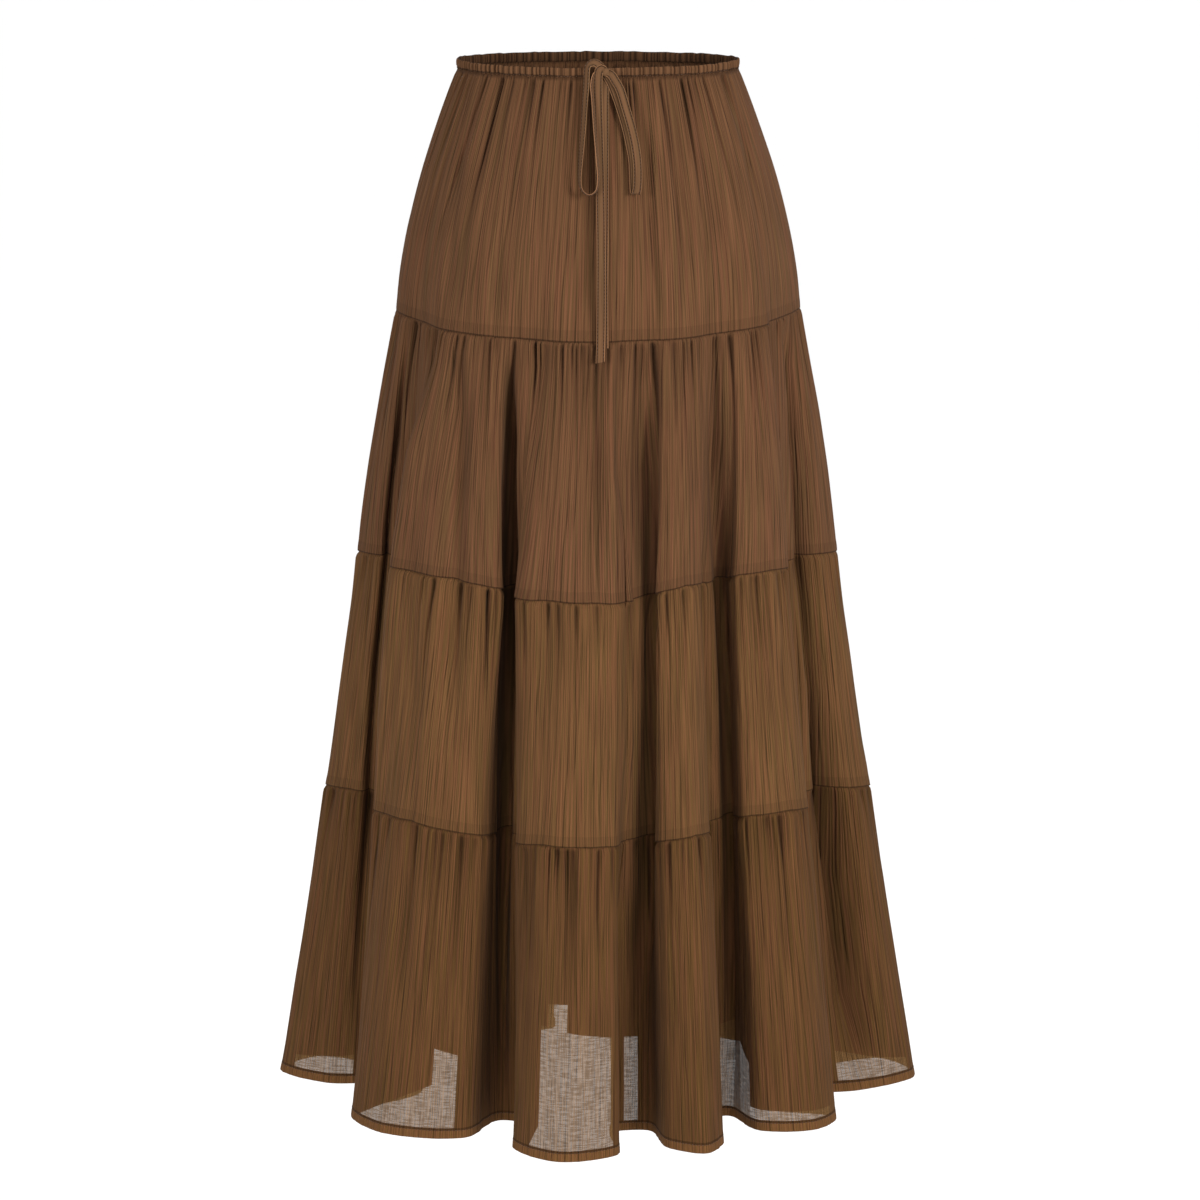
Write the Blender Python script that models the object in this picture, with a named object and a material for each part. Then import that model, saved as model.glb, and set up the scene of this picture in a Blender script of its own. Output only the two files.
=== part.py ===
"""Tiered ruffle skirt in crinkled cotton gauze: a narrow elasticated waist casing, four gathered tiers and a
drawstring tied in a bow. It keeps the hollow form that it has when worn.

Metres, +Z up. The origin is the middle of the waist opening at the top of the casing. The front faces -Y, and
+X is on the viewer's right. The cloth is described once, as a surface over two numbers: share, from 0 at the
centre front once round the skirt to 1, and level, from 0 at the casing to 4 at the hem, one for each tier.
"""

import collections
import math

import bmesh
import bpy
import numpy as np

# ---------------------------------------------------------------- driving dimensions
WALL = 0.0012  # cloth with its crinkle
HEM_WALL = 0.0020  # the hem is turned twice
HEM_HEIGHT = 0.0080
SEAM_GAP = 0.0003
CASING_HEIGHT = 0.0085
CASING_THICKNESS = 0.0026
CASING_EDGE = 0.0013  # rounding of the casing's edges
CASING_PUCKER = 0.0006

# One row for each ring of the skirt. side_z is the height at the side seams, front_drop is how much lower the
# ring hangs at the centre front. turn and depth say how far the hem's folds are formed there: turn for their
# place round the ring, depth for how far they go in and out.
Ring = collections.namedtuple("Ring", "name side_z half_width half_depth front_drop turn depth")
RINGS = (
    Ring("waist", -CASING_HEIGHT, 0.1205, 0.0865, 0.003, 0.00, 0.00),
    Ring("seam_1", -0.2130, 0.1748, 0.1450, 0.015, 0.30, 0.11),
    Ring("seam_2", -0.4285, 0.2090, 0.1830, 0.015, 0.80, 0.52),
    Ring("seam_3", -0.6423, 0.2400, 0.2080, 0.009, 0.92, 0.74),
    Ring("hem", -0.9050, 0.2830, 0.2430, 0.002, 1.00, 1.00),
)

# One row for each large fold at the hem, from the left side round the front and the back. left and right are
# the fold's edges in degrees from the centre front, towards +X. crown, left_edge, right_edge and floor are
# distances from the middle, as shares of the ring's ellipse: floor is the valley on the fold's right. The
# tucks are the degrees by which that cloth goes back under the fold at each edge.
Fold = collections.namedtuple("Fold", "name left right crown left_edge right_edge left_tuck right_tuck floor")
FOLDS = (
    Fold("left_side", -106, -84, 1.01, 0.93, 0.86, 2, -4, 0.58),
    Fold("left_front", -57.3, -28, 0.96, 0.90, 0.86, -15, 0, 0.62),
    Fold("centre", -15.5, 3, 1.05, 0.93, 0.97, -4, -2, 0.68),
    Fold("right_centre", 14, 24, 1.00, 0.92, 0.92, -2, -8, 0.63),
    Fold("right_front", 36, 54, 0.94, 0.84, 0.90, 2, 2, 0.67),
    Fold("right_side", 77, 104, 1.00, 0.84, 0.93, -9, 2, 0.70),
    Fold("back_right", 114, 134, 0.98, 0.92, 0.92, 2, 2, 0.66),
    Fold("back_mid_right", 144, 164, 1.02, 0.94, 0.92, 1, 2, 0.64),
    Fold("back_centre", 174, 195, 1.03, 0.95, 0.92, 2, 2, 0.66),
    Fold("back_mid_left", 205, 222, 0.99, 0.90, 0.94, 2, 1, 0.68),
    Fold("back_left", 231, 246, 1.00, 0.93, 0.90, 1, 2, 0.72),
)

# One row for each tier. gathers is how many pleats its upper seam holds all round, depth is how far they
# stand in and out, reach is how far down they run as a share of the tier, puff is how far the cloth springs
# out below the seam, flare shapes the side outline, and rows are the heights of the section rings.
Tier = collections.namedtuple("Tier", "name gathers depth reach puff flare rows colour")
HEM_TOP = 1 - HEM_HEIGHT / (RINGS[-2].side_z - RINGS[-1].side_z)
TIERS = (
    Tier("tier_1", 40, 0.0026, 0.42, 0.0010, 1.60, (0, 0.06, 0.20, 0.50, 1), (0.187, 0.105, 0.060)),
    Tier("tier_2", 40, 0.0036, 0.40, 0.0022, 1.25, (0, 0.06, 0.20, 0.50, 1), (0.147, 0.078, 0.038)),
    Tier("tier_3", 44, 0.0040, 0.40, 0.0022, 1.00, (0, 0.06, 0.20, 0.50, 1), (0.144, 0.077, 0.036)),
    Tier("tier_4", 48, 0.0044, 0.36, 0.0020, 1.00, (0, 0.05, 0.18, 0.48, HEM_TOP, 1), (0.133, 0.070, 0.031)),
)
COLUMNS_PER_GATHER = 4
RISE = 0.05  # share of a tier in which its gathers open out below the seam
UNEVEN_SPACING = ((5, 0.14), (9, 0.08))  # waves round half the skirt, and how many gathers they shift by

# The tie is a flat tape. Its CAD pieces are round and as thick as the folded tape.
TIE_THICKNESS = 0.0034
TIE_COLOUR = (0.205, 0.112, 0.060)
KNOT_SIZE = (0.0130, 0.0070, 0.0120)
KNOT_CENTRE = (0.0045, -0.0040)  # x and z
KNOT_ROUNDING = 0.0018
CORD_STEP = 3.2  # points on a straight stretch of tie lie this many thicknesses apart
BEND_POINTS = 0.9  # points that a bend of one radian adds

# Routes of the tie as x, z and the clearance in front of the cloth, in millimetres. Each end next to the knot
# leaves it at right angles: the loops start on its sides, and the other four ends are under it.
TIE_ROUTES = {
    "tie_loop_left": (
        (-2.5, -1.8, 3.4), (-5.0, -1.7, 3.5), (-8.0, -2.0, 5.2), (-9.5, -5.6, 6.6), (-9.5, -11.0, 7.2),
        (-9.3, -16.5, 7.0), (-10.9, -41.0, 5.2), (-13.4, -69.4, 4.6), (-15.0, -90.0, 5.0),
        (-13.6, -100.0, 5.2), (-8.4, -105.6, 5.6), (-3.1, -100.0, 6.0), (-1.4, -89.0, 6.0),
        (-1.9, -68.5, 5.6), (-3.3, -45.0, 5.6), (-2.6, -24.7, 4.6), (-0.5, -14.2, 1.1), (-0.4, -10.4, 2.3),
    ),
    "tie_loop_right": (
        (11.4, -3.6, 3.4), (14.0, -3.6, 3.6), (18.2, -9.4, 6.4), (24.3, -24.8, 7.0), (30.2, -43.6, 6.0),
        (34.3, -65.7, 5.0), (36.6, -84.4, 5.0), (36.6, -97.6, 5.2), (32.2, -103.8, 5.6),
        (27.8, -97.6, 6.0), (27.0, -81.7, 6.0), (25.0, -59.8, 6.0), (20.8, -38.6, 6.0), (15.4, -22.6, 6.4),
        (9.6, -14.2, 3.8), (9.5, -10.4, 5.0),
    ),
    "tie_tail_front": (
        (2.3, -10.4, 5.2), (2.3, -14.2, 4.0), (2.1, -25.0, 6.8), (2.1, -44.7, 9.0), (2.1, -75.0, 9.0),
        (2.1, -109.6, 9.0), (2.1, -142.0, 8.6), (2.1, -174.9, 8.0), (2.2, -202.0, 7.6), (2.1, -227.0, 7.5),
        (1.7, -244.1, 7.5),
    ),
    "tie_tail_back": (
        (5.9, -10.4, 2.4), (5.9, -14.2, 1.2), (6.5, -25.0, 4.2), (6.7, -45.1, 5.0), (6.5, -78.0, 4.6),
        (6.3, -110.0, 4.5), (6.0, -142.0, 4.5), (5.8, -175.3, 4.5), (5.8, -204.0, 4.6), (5.8, -233.8, 5.0),
    ),
}


# ---------------------------------------------------------------- the surface of the cloth
def hem_turns():
    """The points where the hem turns, as degrees from the centre front and shares of the ring's ellipse."""
    turns = []
    for fold, after in zip(FOLDS, FOLDS[1:] + FOLDS[:1]):
        after_left = after.left + (360 if after.left < fold.left else 0)
        turns += [
            (fold.left, fold.left_edge),
            ((fold.left + fold.right) / 2, fold.crown),
            (fold.right, fold.right_edge),
            (fold.right - fold.right_tuck, fold.floor),
            (after_left + after.left_tuck, fold.floor),
        ]
    return np.array(turns, float)


def ring_points(turns, half_width, half_depth):
    angle = np.radians(turns[:, 0])
    return np.column_stack(
        [half_width * turns[:, 1] * np.sin(angle), -half_depth * turns[:, 1] * np.cos(angle)]
    )


def cloth_shares(turns):
    """Each turn's share of the cloth, from the lengths along the hem, with 0 at the centre front."""
    points = ring_points(turns, RINGS[-1].half_width, RINGS[-1].half_depth)
    steps = np.linalg.norm(np.roll(points, -1, axis=0) - points, axis=1)
    shares = np.concatenate([[0.0], np.cumsum(steps)[:-1]]) / steps.sum()
    return shares - np.interp(0.0, turns[:, 0], shares)


TURNS = hem_turns()
SHARES = cloth_shares(TURNS)


def ring_at(level):
    """The ring at this level: its height, half sizes, drop and folds, between two rows of RINGS."""
    tier = min(int(level), len(TIERS) - 1)
    down = level - tier
    upper, lower = RINGS[tier], RINGS[tier + 1]
    widen = 1 - (1 - down) ** TIERS[tier].flare
    mix = {name: a + (b - a) * down for name, a, b in zip(Ring._fields[1:], upper[1:], lower[1:])}
    for name in ("half_width", "half_depth"):
        first = getattr(upper, name)
        mix[name] = first + (getattr(lower, name) - first) * widen
    return Ring("between", **mix)


def plan(share, level):
    """Points of the ring seen from above, on a smooth closed curve through its turns."""
    ring = ring_at(level)
    turns = TURNS.copy()
    turns[:, 0] = 360 * SHARES + (TURNS[:, 0] - 360 * SHARES) * ring.turn
    turns[:, 1] = 1 + (TURNS[:, 1] - 1) * ring.depth
    points = ring_points(turns, ring.half_width, ring.half_depth)
    knots = np.concatenate([[SHARES[-1] - 1], SHARES, SHARES[:2] + 1])
    points = np.vstack([points[-1:], points, points[:2]])
    spans = np.diff(knots)[:, None]
    slopes = np.diff(points, axis=0) / spans
    tangents = (slopes[:-1] * spans[1:] + slopes[1:] * spans[:-1]) / (spans[1:] + spans[:-1])
    place = knots[1] + np.mod(np.asarray(share, float) - knots[1], 1.0)
    at = np.clip(np.searchsorted(knots, place, side="right") - 1, 1, len(SHARES))
    span = knots[at + 1] - knots[at]
    t = ((place - knots[at]) / span)[:, None]
    span = span[:, None]
    return (
        (2 * t**3 - 3 * t**2 + 1) * points[at]
        + (t**3 - 2 * t**2 + t) * span * tangents[at - 1]
        + (3 * t**2 - 2 * t**3) * points[at + 1]
        + (t**3 - t**2) * span * tangents[at]
    )


def outward(share, level):
    """The level unit normals of the ring, pointing out of the skirt."""
    step = 0.0004
    along = plan(share + step, level) - plan(share - step, level)
    along /= np.linalg.norm(along, axis=1)[:, None]
    return np.column_stack([along[:, 1], -along[:, 0]])


def height(share, level):
    ring = ring_at(level)
    return ring.side_z - ring.front_drop * np.clip(np.cos(2 * math.pi * share), 0, 1)


def side_to_side(lengths):
    """Running lengths on GRID made into shares, with the side seams held at their places."""
    seam = len(GRID) // 2
    front = lengths[: seam + 1] / lengths[seam] / 2
    back = (lengths[seam:] - lengths[seam]) / (lengths[-1] - lengths[seam]) / 2
    return GRID[0] + np.concatenate([front, 0.5 + back[1:]])


def even_cloth(number):
    """How far round a tier each share of GRID lies, as the mean of its upper and its lower edge. Gathers are
    counted along this, so that none is crowded where the folds have not opened yet."""
    edges = []
    for level in (number - 1, number):
        steps = np.linalg.norm(np.diff(plan(GRID, level), axis=0), axis=1)
        edges.append(side_to_side(np.concatenate([[0.0], np.cumsum(steps)])))
    return np.mean(edges, axis=0)


GRID = np.linspace(-0.25, 0.75, 1601)  # shares from the left side seam round the front and the back
EVEN_CLOTH = {number: even_cloth(number) for number in range(1, len(TIERS) + 1)}


def share_of(number, phase):
    """The cloth share of a place counted in gathers. The gathers are unevenly spaced, but not at the side
    seams, where the shifts are nought."""
    gathers = TIERS[number - 1].gathers
    shift = sum(size * np.sin(4 * math.pi * waves * phase / gathers) for waves, size in UNEVEN_SPACING)
    return np.interp((phase + shift) / gathers, EVEN_CLOTH[number], GRID)


def room(number, phase):
    """The width of each gather at the tier's upper seam, as a share of the mean width and at most 1."""
    upper = plan(share_of(number, phase + 0.5), number - 1) - plan(share_of(number, phase - 0.5), number - 1)
    width = np.linalg.norm(upper, axis=1)
    return np.minimum(width / width.mean(), 1.0)


def stray(count, seed):
    """A fixed spread of numbers from 0 to 1, one for each gather."""
    return np.mod(np.sin(np.arange(count) * 12.9898 + seed * 78.233) * 43758.5453, 1.0)


def gather_out(number, phase, down):
    """How far the gathers and the puff below a seam stand out from the plain ring."""
    tier = TIERS[number - 1]
    nearest = np.mod(np.round(phase).astype(int), tier.gathers)
    size = (0.55 + 0.45 * stray(tier.gathers, number)[nearest]) * room(number, phase)
    reach = tier.reach * (0.6 + 0.8 * stray(tier.gathers, number + 7)[nearest])
    opening = min(down / RISE, 1.0)
    fade = np.exp(-((down / reach) ** 1.5)) * (1 - down)
    return opening * fade * (tier.depth * size * np.cos(2 * math.pi * phase) + tier.puff)


def tier_points(number, phase, down, out=0.0):
    """Points of one tier's cloth, moved out of the skirt by out."""
    level = number - 1 + down
    share = share_of(number, phase)
    offset = gather_out(number, phase, down) + out
    flat = plan(share, level) + outward(share, level) * offset[:, None]
    return np.column_stack([flat, height(share, level)])


def casing_out(phase):
    """The casing is puckered by the same gathers as the tier below it."""
    return CASING_PUCKER * np.cos(2 * math.pi * phase)


def front_surface(x, z):
    """The y of tier 1's outer wall at the front, ahead of every gather, for what hangs there."""
    shares = np.linspace(-0.12, 0.12, 121)
    tier_height = RINGS[0].side_z - RINGS[1].side_z
    level = 0.0
    for _ in range(6):
        level += (np.interp(x, plan(shares, level)[:, 0], height(shares, level)) - z) / tier_height
        level = min(max(level, 0.0), 2.0)
    ring = plan(shares, level)
    stand_off = TIERS[0].depth + TIERS[0].puff if level < 1 else TIERS[1].depth + TIERS[1].puff
    return np.interp(x, ring[:, 0], ring[:, 1]) - stand_off * 0.5 - WALL / 2


# ---------------------------------------------------------------- making objects
def clear_scene():
    for old in list(bpy.data.objects):
        bpy.data.objects.remove(old, do_unlink=True)
    skirt = bpy.data.collections.new("tiered_ruffle_skirt")
    bpy.context.scene.collection.children.link(skirt)
    return skirt


def cloth_material(name, colour, roughness=0.85):
    material = bpy.data.materials.new(name)
    material.use_nodes = True
    shader = material.node_tree.nodes["Principled BSDF"]
    shader.inputs["Base Color"].default_value = (*colour, 1.0)
    shader.inputs["Roughness"].default_value = roughness
    shader.inputs["Metallic"].default_value = 0.0
    return material


def add_object(collection, name, data, material):
    piece = bpy.data.objects.new(name, data)
    data.materials.append(material)
    collection.objects.link(piece)
    return piece


def loft(sections):
    """A closed mesh through a row of closed sections with as many points each, the first half on the outer
    face and the second half back along the inner face. Both faces are split along the same diagonals, so the
    wall keeps its thickness where it twists. The end caps are split alike too, so two panels that meet at a
    twisted seam don't cross."""
    count = len(sections[0])
    half = count // 2
    mesh = bmesh.new()
    rings = [[mesh.verts.new(point) for point in section] for section in sections]
    for first, second in zip(rings, rings[1:]):
        for i in range(count):
            j = (i + 1) % count
            if i < half:
                mesh.faces.new((first[i], first[j], second[i]))
                mesh.faces.new((first[j], second[j], second[i]))
            else:
                mesh.faces.new((first[i], first[j], second[j]))
                mesh.faces.new((first[i], second[j], second[i]))
    for ring, turned in ((rings[0], -1), (rings[-1], 1)):
        for i in range(half - 1):
            outer, outer_next, inner_next, inner = ring[i], ring[i + 1], ring[count - 2 - i], ring[count - 1 - i]
            for cap in ((outer, outer_next, inner_next), (outer, inner_next, inner)):
                mesh.faces.new(cap[::turned])
    bmesh.ops.recalc_face_normals(mesh, faces=mesh.faces[:])
    data = bpy.data.meshes.new("loft")
    mesh.to_mesh(data)
    mesh.free()
    data.shade_smooth()
    data.set_sharp_from_angle(angle=math.radians(60))
    return data


def part_seam(row, normal):
    """Moves a row's two ends along the ring, away from the other panel's, to leave half the seam's gap."""
    along = np.column_stack([-normal[:, 1], normal[:, 0]])
    row[0, :2] += along[0] * SEAM_GAP / 2
    row[-1, :2] -= along[-1] * SEAM_GAP / 2
    return row


def panel_phases(gathers, side, per_gather):
    """The columns of a front (0) or back (1) panel, from side seam to side seam."""
    first = -gathers // 4 + side * gathers // 2
    return first + np.arange(gathers // 2 * per_gather + 1) / per_gather


def tier_panel(number, side):
    """A tier's panel as a wall: down its outer face, then up its inner face, column by column."""
    tier = TIERS[number - 1]
    phase = panel_phases(tier.gathers, side, COLUMNS_PER_GATHER)
    share = share_of(number, phase)
    is_last = number == len(TIERS)
    rows = []
    for down in tier.rows:
        wall = HEM_WALL if is_last and down >= tier.rows[-2] else WALL
        trim = SEAM_GAP / 2 if down == 0 else (0.0 if is_last or down < 1 else -SEAM_GAP / 2)
        pair = []
        for out in (wall / 2, -wall / 2):
            row = tier_points(number, phase, down, out)
            row[:, 2] -= trim
            pair.append(part_seam(row, outward(share, number - 1 + down)))
        rows.append(pair)
    sections = []
    for column in range(len(phase)):
        outer = [pair[0][column] for pair in rows]
        inner = [pair[1][column] for pair in reversed(rows)]
        sections.append(outer + inner)
    return loft(sections)


def casing_panel(side):
    """Half of the waist casing: a flat tube with rounded edges, round the elastic."""
    gathers = TIERS[0].gathers
    phase = panel_phases(gathers, side, 2)
    share = share_of(1, phase)
    half = CASING_THICKNESS / 2
    edge = CASING_EDGE
    foot = CASING_HEIGHT - SEAM_GAP / 2
    profile = ((half, edge), (half, foot - edge), (0.0, foot), (-half, foot - edge), (-half, edge), (0.0, 0.0))
    base = plan(share, 0.0)
    normal = outward(share, 0.0)
    top = height(share, 0.0) + CASING_HEIGHT
    rows = []
    for out, down in profile:
        offset = out + casing_out(phase) * (out > 0)
        row = np.column_stack([base + normal * offset[:, None], top - down])
        rows.append(part_seam(row, normal))
    return loft([[row[column] for row in rows] for column in range(len(phase))])


def smooth_route(name):
    """Points along a tie's route, read from a smooth curve through its own points, closer where it bends."""
    route = []
    for x, z, clear in TIE_ROUTES[name]:
        x, z = x / 1000, z / 1000
        route.append((x, front_surface(x, min(z, -CASING_HEIGHT)) - clear / 1000, z))
    route = np.array(route)
    chords = np.sqrt(np.linalg.norm(np.diff(route, axis=0), axis=1))
    slopes = np.diff(route, axis=0) / chords[:, None]
    tangents = np.vstack([slopes[:1], (slopes[1:] + slopes[:-1]) / 2, slopes[-1:]])
    fine = []
    for i, span in enumerate(chords):
        for t in np.arange(12) / 12:
            fine.append(
                (2 * t**3 - 3 * t**2 + 1) * route[i]
                + (t**3 - 2 * t**2 + t) * span * tangents[i]
                + (3 * t**2 - 2 * t**3) * route[i + 1]
                + (t**3 - t**2) * span * tangents[i + 1]
            )
    fine = np.array(fine + [route[-1]])
    steps = np.diff(fine, axis=0)
    lengths = np.linalg.norm(steps, axis=1)
    cosines = np.sum(steps[1:] * steps[:-1], axis=1) / (lengths[1:] * lengths[:-1])
    bends = np.concatenate([[0.0], np.arccos(np.clip(cosines, -1, 1))])
    points_so_far = np.cumsum(lengths / (CORD_STEP * TIE_THICKNESS) + bends * BEND_POINTS)
    points_so_far = np.concatenate([[0.0], points_so_far])
    even = np.linspace(0.0, points_so_far[-1], int(points_so_far[-1]) + 2)
    return np.column_stack([np.interp(even, points_so_far, fine[:, axis]) for axis in range(3)])


def tie_tube(name):
    curve = bpy.data.curves.new(name, "CURVE")
    curve.dimensions = "3D"
    curve.bevel_depth = TIE_THICKNESS / 2
    curve.bevel_resolution = 2
    curve.use_fill_caps = True
    route = smooth_route(name)
    spline = curve.splines.new("POLY")
    spline.points.add(len(route) - 1)
    for point, place in zip(spline.points, route):
        point.co = (*place, 1.0)
    return curve


def knot():
    """The knot is a small cushion of tape, flatter from front to back."""
    mesh = bmesh.new()
    bmesh.ops.create_cube(mesh, size=1.0)
    bmesh.ops.scale(mesh, vec=KNOT_SIZE, verts=mesh.verts[:])
    bmesh.ops.bevel(
        mesh,
        geom=mesh.edges[:],
        offset=KNOT_ROUNDING,
        segments=2,
        profile=0.5,
        affect="EDGES",
        clamp_overlap=True,
    )
    data = bpy.data.meshes.new("tie_knot")
    mesh.to_mesh(data)
    mesh.free()
    data.shade_smooth()
    return data


def build():
    skirt = clear_scene()
    casing_cloth = cloth_material("gathered gauze over elastic", TIERS[0].colour)
    for side, name in enumerate(("casing_front", "casing_back")):
        add_object(skirt, name, casing_panel(side), casing_cloth)
    for number, tier in enumerate(TIERS, start=1):
        cloth = cloth_material(f"crinkle gauze of {tier.name}", tier.colour)
        for side, place in enumerate(("front", "back")):
            add_object(skirt, f"{tier.name}_{place}", tier_panel(number, side), cloth)
    tape = cloth_material("gauze tape", TIE_COLOUR)
    for name in TIE_ROUTES:
        add_object(skirt, name, tie_tube(name), tape)
    bow = add_object(skirt, "tie_knot", knot(), tape)
    x, z = KNOT_CENTRE
    casing_face = plan(np.array([0.0]), 0.0)[0, 1] - CASING_THICKNESS / 2 - CASING_PUCKER
    bow.location = (x, casing_face - SEAM_GAP - KNOT_SIZE[1] / 2, z)


build()
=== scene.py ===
# %% [markdown]
# # A tiered gauze skirt
#
# This lesson dresses a imported model of a long tiered skirt. The imported model has the right size and place
# for every panel, but its walls are thick and plain. Here each wall is replaced by a thin sheet of crinkled
# cotton with its gathers, seams, hem and stitches, and the tie by flat tape.
#
# The imported model is loaded first. The dressed skirt must not outgrow it.

# %% Load the imported model
import collections
import math

import bpy
import numpy as np
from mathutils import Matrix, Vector


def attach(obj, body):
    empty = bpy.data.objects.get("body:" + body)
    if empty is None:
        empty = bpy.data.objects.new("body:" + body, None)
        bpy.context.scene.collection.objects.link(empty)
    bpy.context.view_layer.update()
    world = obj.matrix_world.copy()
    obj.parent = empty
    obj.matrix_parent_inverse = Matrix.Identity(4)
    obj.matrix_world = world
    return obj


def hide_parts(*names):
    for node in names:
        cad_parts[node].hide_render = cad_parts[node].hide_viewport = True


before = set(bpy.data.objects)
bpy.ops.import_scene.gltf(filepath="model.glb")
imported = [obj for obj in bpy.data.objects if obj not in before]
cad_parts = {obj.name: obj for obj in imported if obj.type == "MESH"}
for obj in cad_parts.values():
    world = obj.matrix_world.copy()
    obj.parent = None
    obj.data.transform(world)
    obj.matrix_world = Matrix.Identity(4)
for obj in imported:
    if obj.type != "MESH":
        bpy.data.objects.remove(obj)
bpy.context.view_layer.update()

bpy.ops.object.select_all(action="DESELECT")

# %% [markdown]
# ## Camera
#
# Clothes are shown from a few metres away with a long lens, so that the waist and the hem are seen almost
# level and nothing looks stretched. The camera stands a little above the waist and looks down at the middle
# of the skirt, which is why the far rim of the waist shows over the near one, and why each seam sags in the
# middle. A long lens is also easy to place: its width of view at the skirt is one plain number.

# %% Camera
CAMERA_PLACE = Vector((0.00175, -4.0, 0.26))
CAMERA_TARGET = Vector((0.00175, 0.0, -0.4735))
VIEW_WIDTH = 1.0524  # metres across the view at the skirt
SENSOR = 36.0


def add_object(name, data):
    """A new object in the scene."""
    thing = bpy.data.objects.new(name, data)
    bpy.context.scene.collection.objects.link(thing)
    return thing


lens_data = bpy.data.cameras.new("camera")
camera = add_object("camera", lens_data)
line_of_sight = CAMERA_TARGET - CAMERA_PLACE
camera.location = CAMERA_PLACE
camera.rotation_euler = line_of_sight.to_track_quat("-Z", "Y").to_euler()
lens_data.sensor_width = SENSOR
lens_data.lens = SENSOR * line_of_sight.length / VIEW_WIDTH
lens_data.dof.use_dof = False
bpy.context.scene.camera = camera
print("lens of", round(lens_data.lens, 1), "mm")

# %% [markdown]
# ## Floor and light
#
# A clothes studio is lit from all sides by white walls, with large soft lamps on both sides. The world gives
# the even white light, and dark only gathers where the cloth folds in on itself. Two soft lamps stand well
# to the right and to the left of the camera, so that they round the folds and draw the gathers but don't
# shine into the valleys. A weak one in front lights the middle of the hem. The floor is a wide white disc
# some way below the hem, because the skirt is held up at its waist.

# %% Floor and light
FLOOR_Z = -1.25
FLOOR_RADIUS = 60.0
WORLD_LIGHT = 1.08


def srgb(hex_colour):
    """A colour written as sRGB hex, turned to the linear values that shaders need."""
    channels = [int(hex_colour[i : i + 2], 16) / 255 for i in (1, 3, 5)]
    return tuple(c / 12.92 if c <= 0.04045 else ((c + 0.055) / 1.055) ** 2.4 for c in channels) + (1.0,)


def add_node(tree, kind, settings=None, inputs=None):
    """One node with its settings. An input is given a value, or the socket that feeds it."""
    node = tree.nodes.new(kind)
    for name, value in (settings or {}).items():
        setattr(node, name, value)
    for name, value in (inputs or {}).items():
        if isinstance(value, bpy.types.NodeSocket):
            tree.links.new(value, node.inputs[name])
        else:
            node.inputs[name].default_value = value
    return node


def new_material(name):
    """An empty material and its Principled shader."""
    material = bpy.data.materials.new(name)
    material.use_nodes = True
    return material, material.node_tree, material.node_tree.nodes["Principled BSDF"]


def area_light(name, place, target, size, power, spread):
    """A soft round lamp. spread is the angle of its beam in degrees."""
    data = bpy.data.lights.new(name, "AREA")
    data.shape = "DISK"
    data.size = size
    data.energy = power
    data.spread = math.radians(spread)
    light = add_object(name, data)
    light.location = place
    light.rotation_euler = (Vector(target) - Vector(place)).to_track_quat("-Z", "Y").to_euler()


world = bpy.data.worlds.new("white studio")
world.use_nodes = True
world.node_tree.nodes["Background"].inputs["Color"].default_value = (1.0, 1.0, 1.0, 1.0)
world.node_tree.nodes["Background"].inputs["Strength"].default_value = WORLD_LIGHT
bpy.context.scene.world = world
bpy.context.scene.view_settings.view_transform = "Standard"

bpy.ops.mesh.primitive_circle_add(
    vertices=96, radius=FLOOR_RADIUS, fill_type="NGON", location=(0, 0, FLOOR_Z)
)
floor = bpy.context.object
floor.name = "floor"
bpy.ops.object.transform_apply(location=True, rotation=True, scale=True)
floor_paint, _, floor_shader = new_material("matt white floor paint")
floor_shader.inputs["Base Color"].default_value = (0.93, 0.93, 0.93, 1.0)
floor_shader.inputs["Roughness"].default_value = 0.9
floor_shader.inputs["Specular IOR Level"].default_value = 0.1
floor.data.materials.append(floor_paint)

area_light("right lamp", (2.3, -3.1, 0.55), (0.14, 0, -0.06), 1.4, 13.5, 44)
area_light("left lamp", (-2.4, -3.0, 0.45), (0, 0, -0.28), 1.4, 7.0, 50)
area_light("low lamp", (0.0, -4.2, -0.2), (-0.02, 0, -0.82), 0.8, 0.30, 14)

# %% [markdown]
# ## The surface of the cloth
#
# The whole skirt is one surface over two numbers. The share says how far round the cloth a place is, from 0
# at the centre front to 1, and the level says how far down, from 0 at the waist casing to 4 at the hem, one
# for each tier. A short table gives the size of each seam's ring, and another the large folds that the
# cloth has at the hem. The folds grow from nothing at the waist, so one closed curve through the turns of
# the folds, blended from ring to ring, gives the skirt at any level. These are the sizes that the solids
# were made from.

# %% Rings and folds
CASING_HEIGHT = 0.0085

Ring = collections.namedtuple("Ring", "name side_z half_width half_depth front_drop turn depth")
RINGS = (
    Ring("waist", -CASING_HEIGHT, 0.1205, 0.0865, 0.003, 0.00, 0.00),
    Ring("seam_1", -0.2130, 0.1748, 0.1450, 0.015, 0.30, 0.11),
    Ring("seam_2", -0.4285, 0.2090, 0.1830, 0.015, 0.80, 0.52),
    Ring("seam_3", -0.6423, 0.2400, 0.2080, 0.009, 0.92, 0.74),
    Ring("hem", -0.9050, 0.2830, 0.2430, 0.002, 1.00, 1.00),
)

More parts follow.
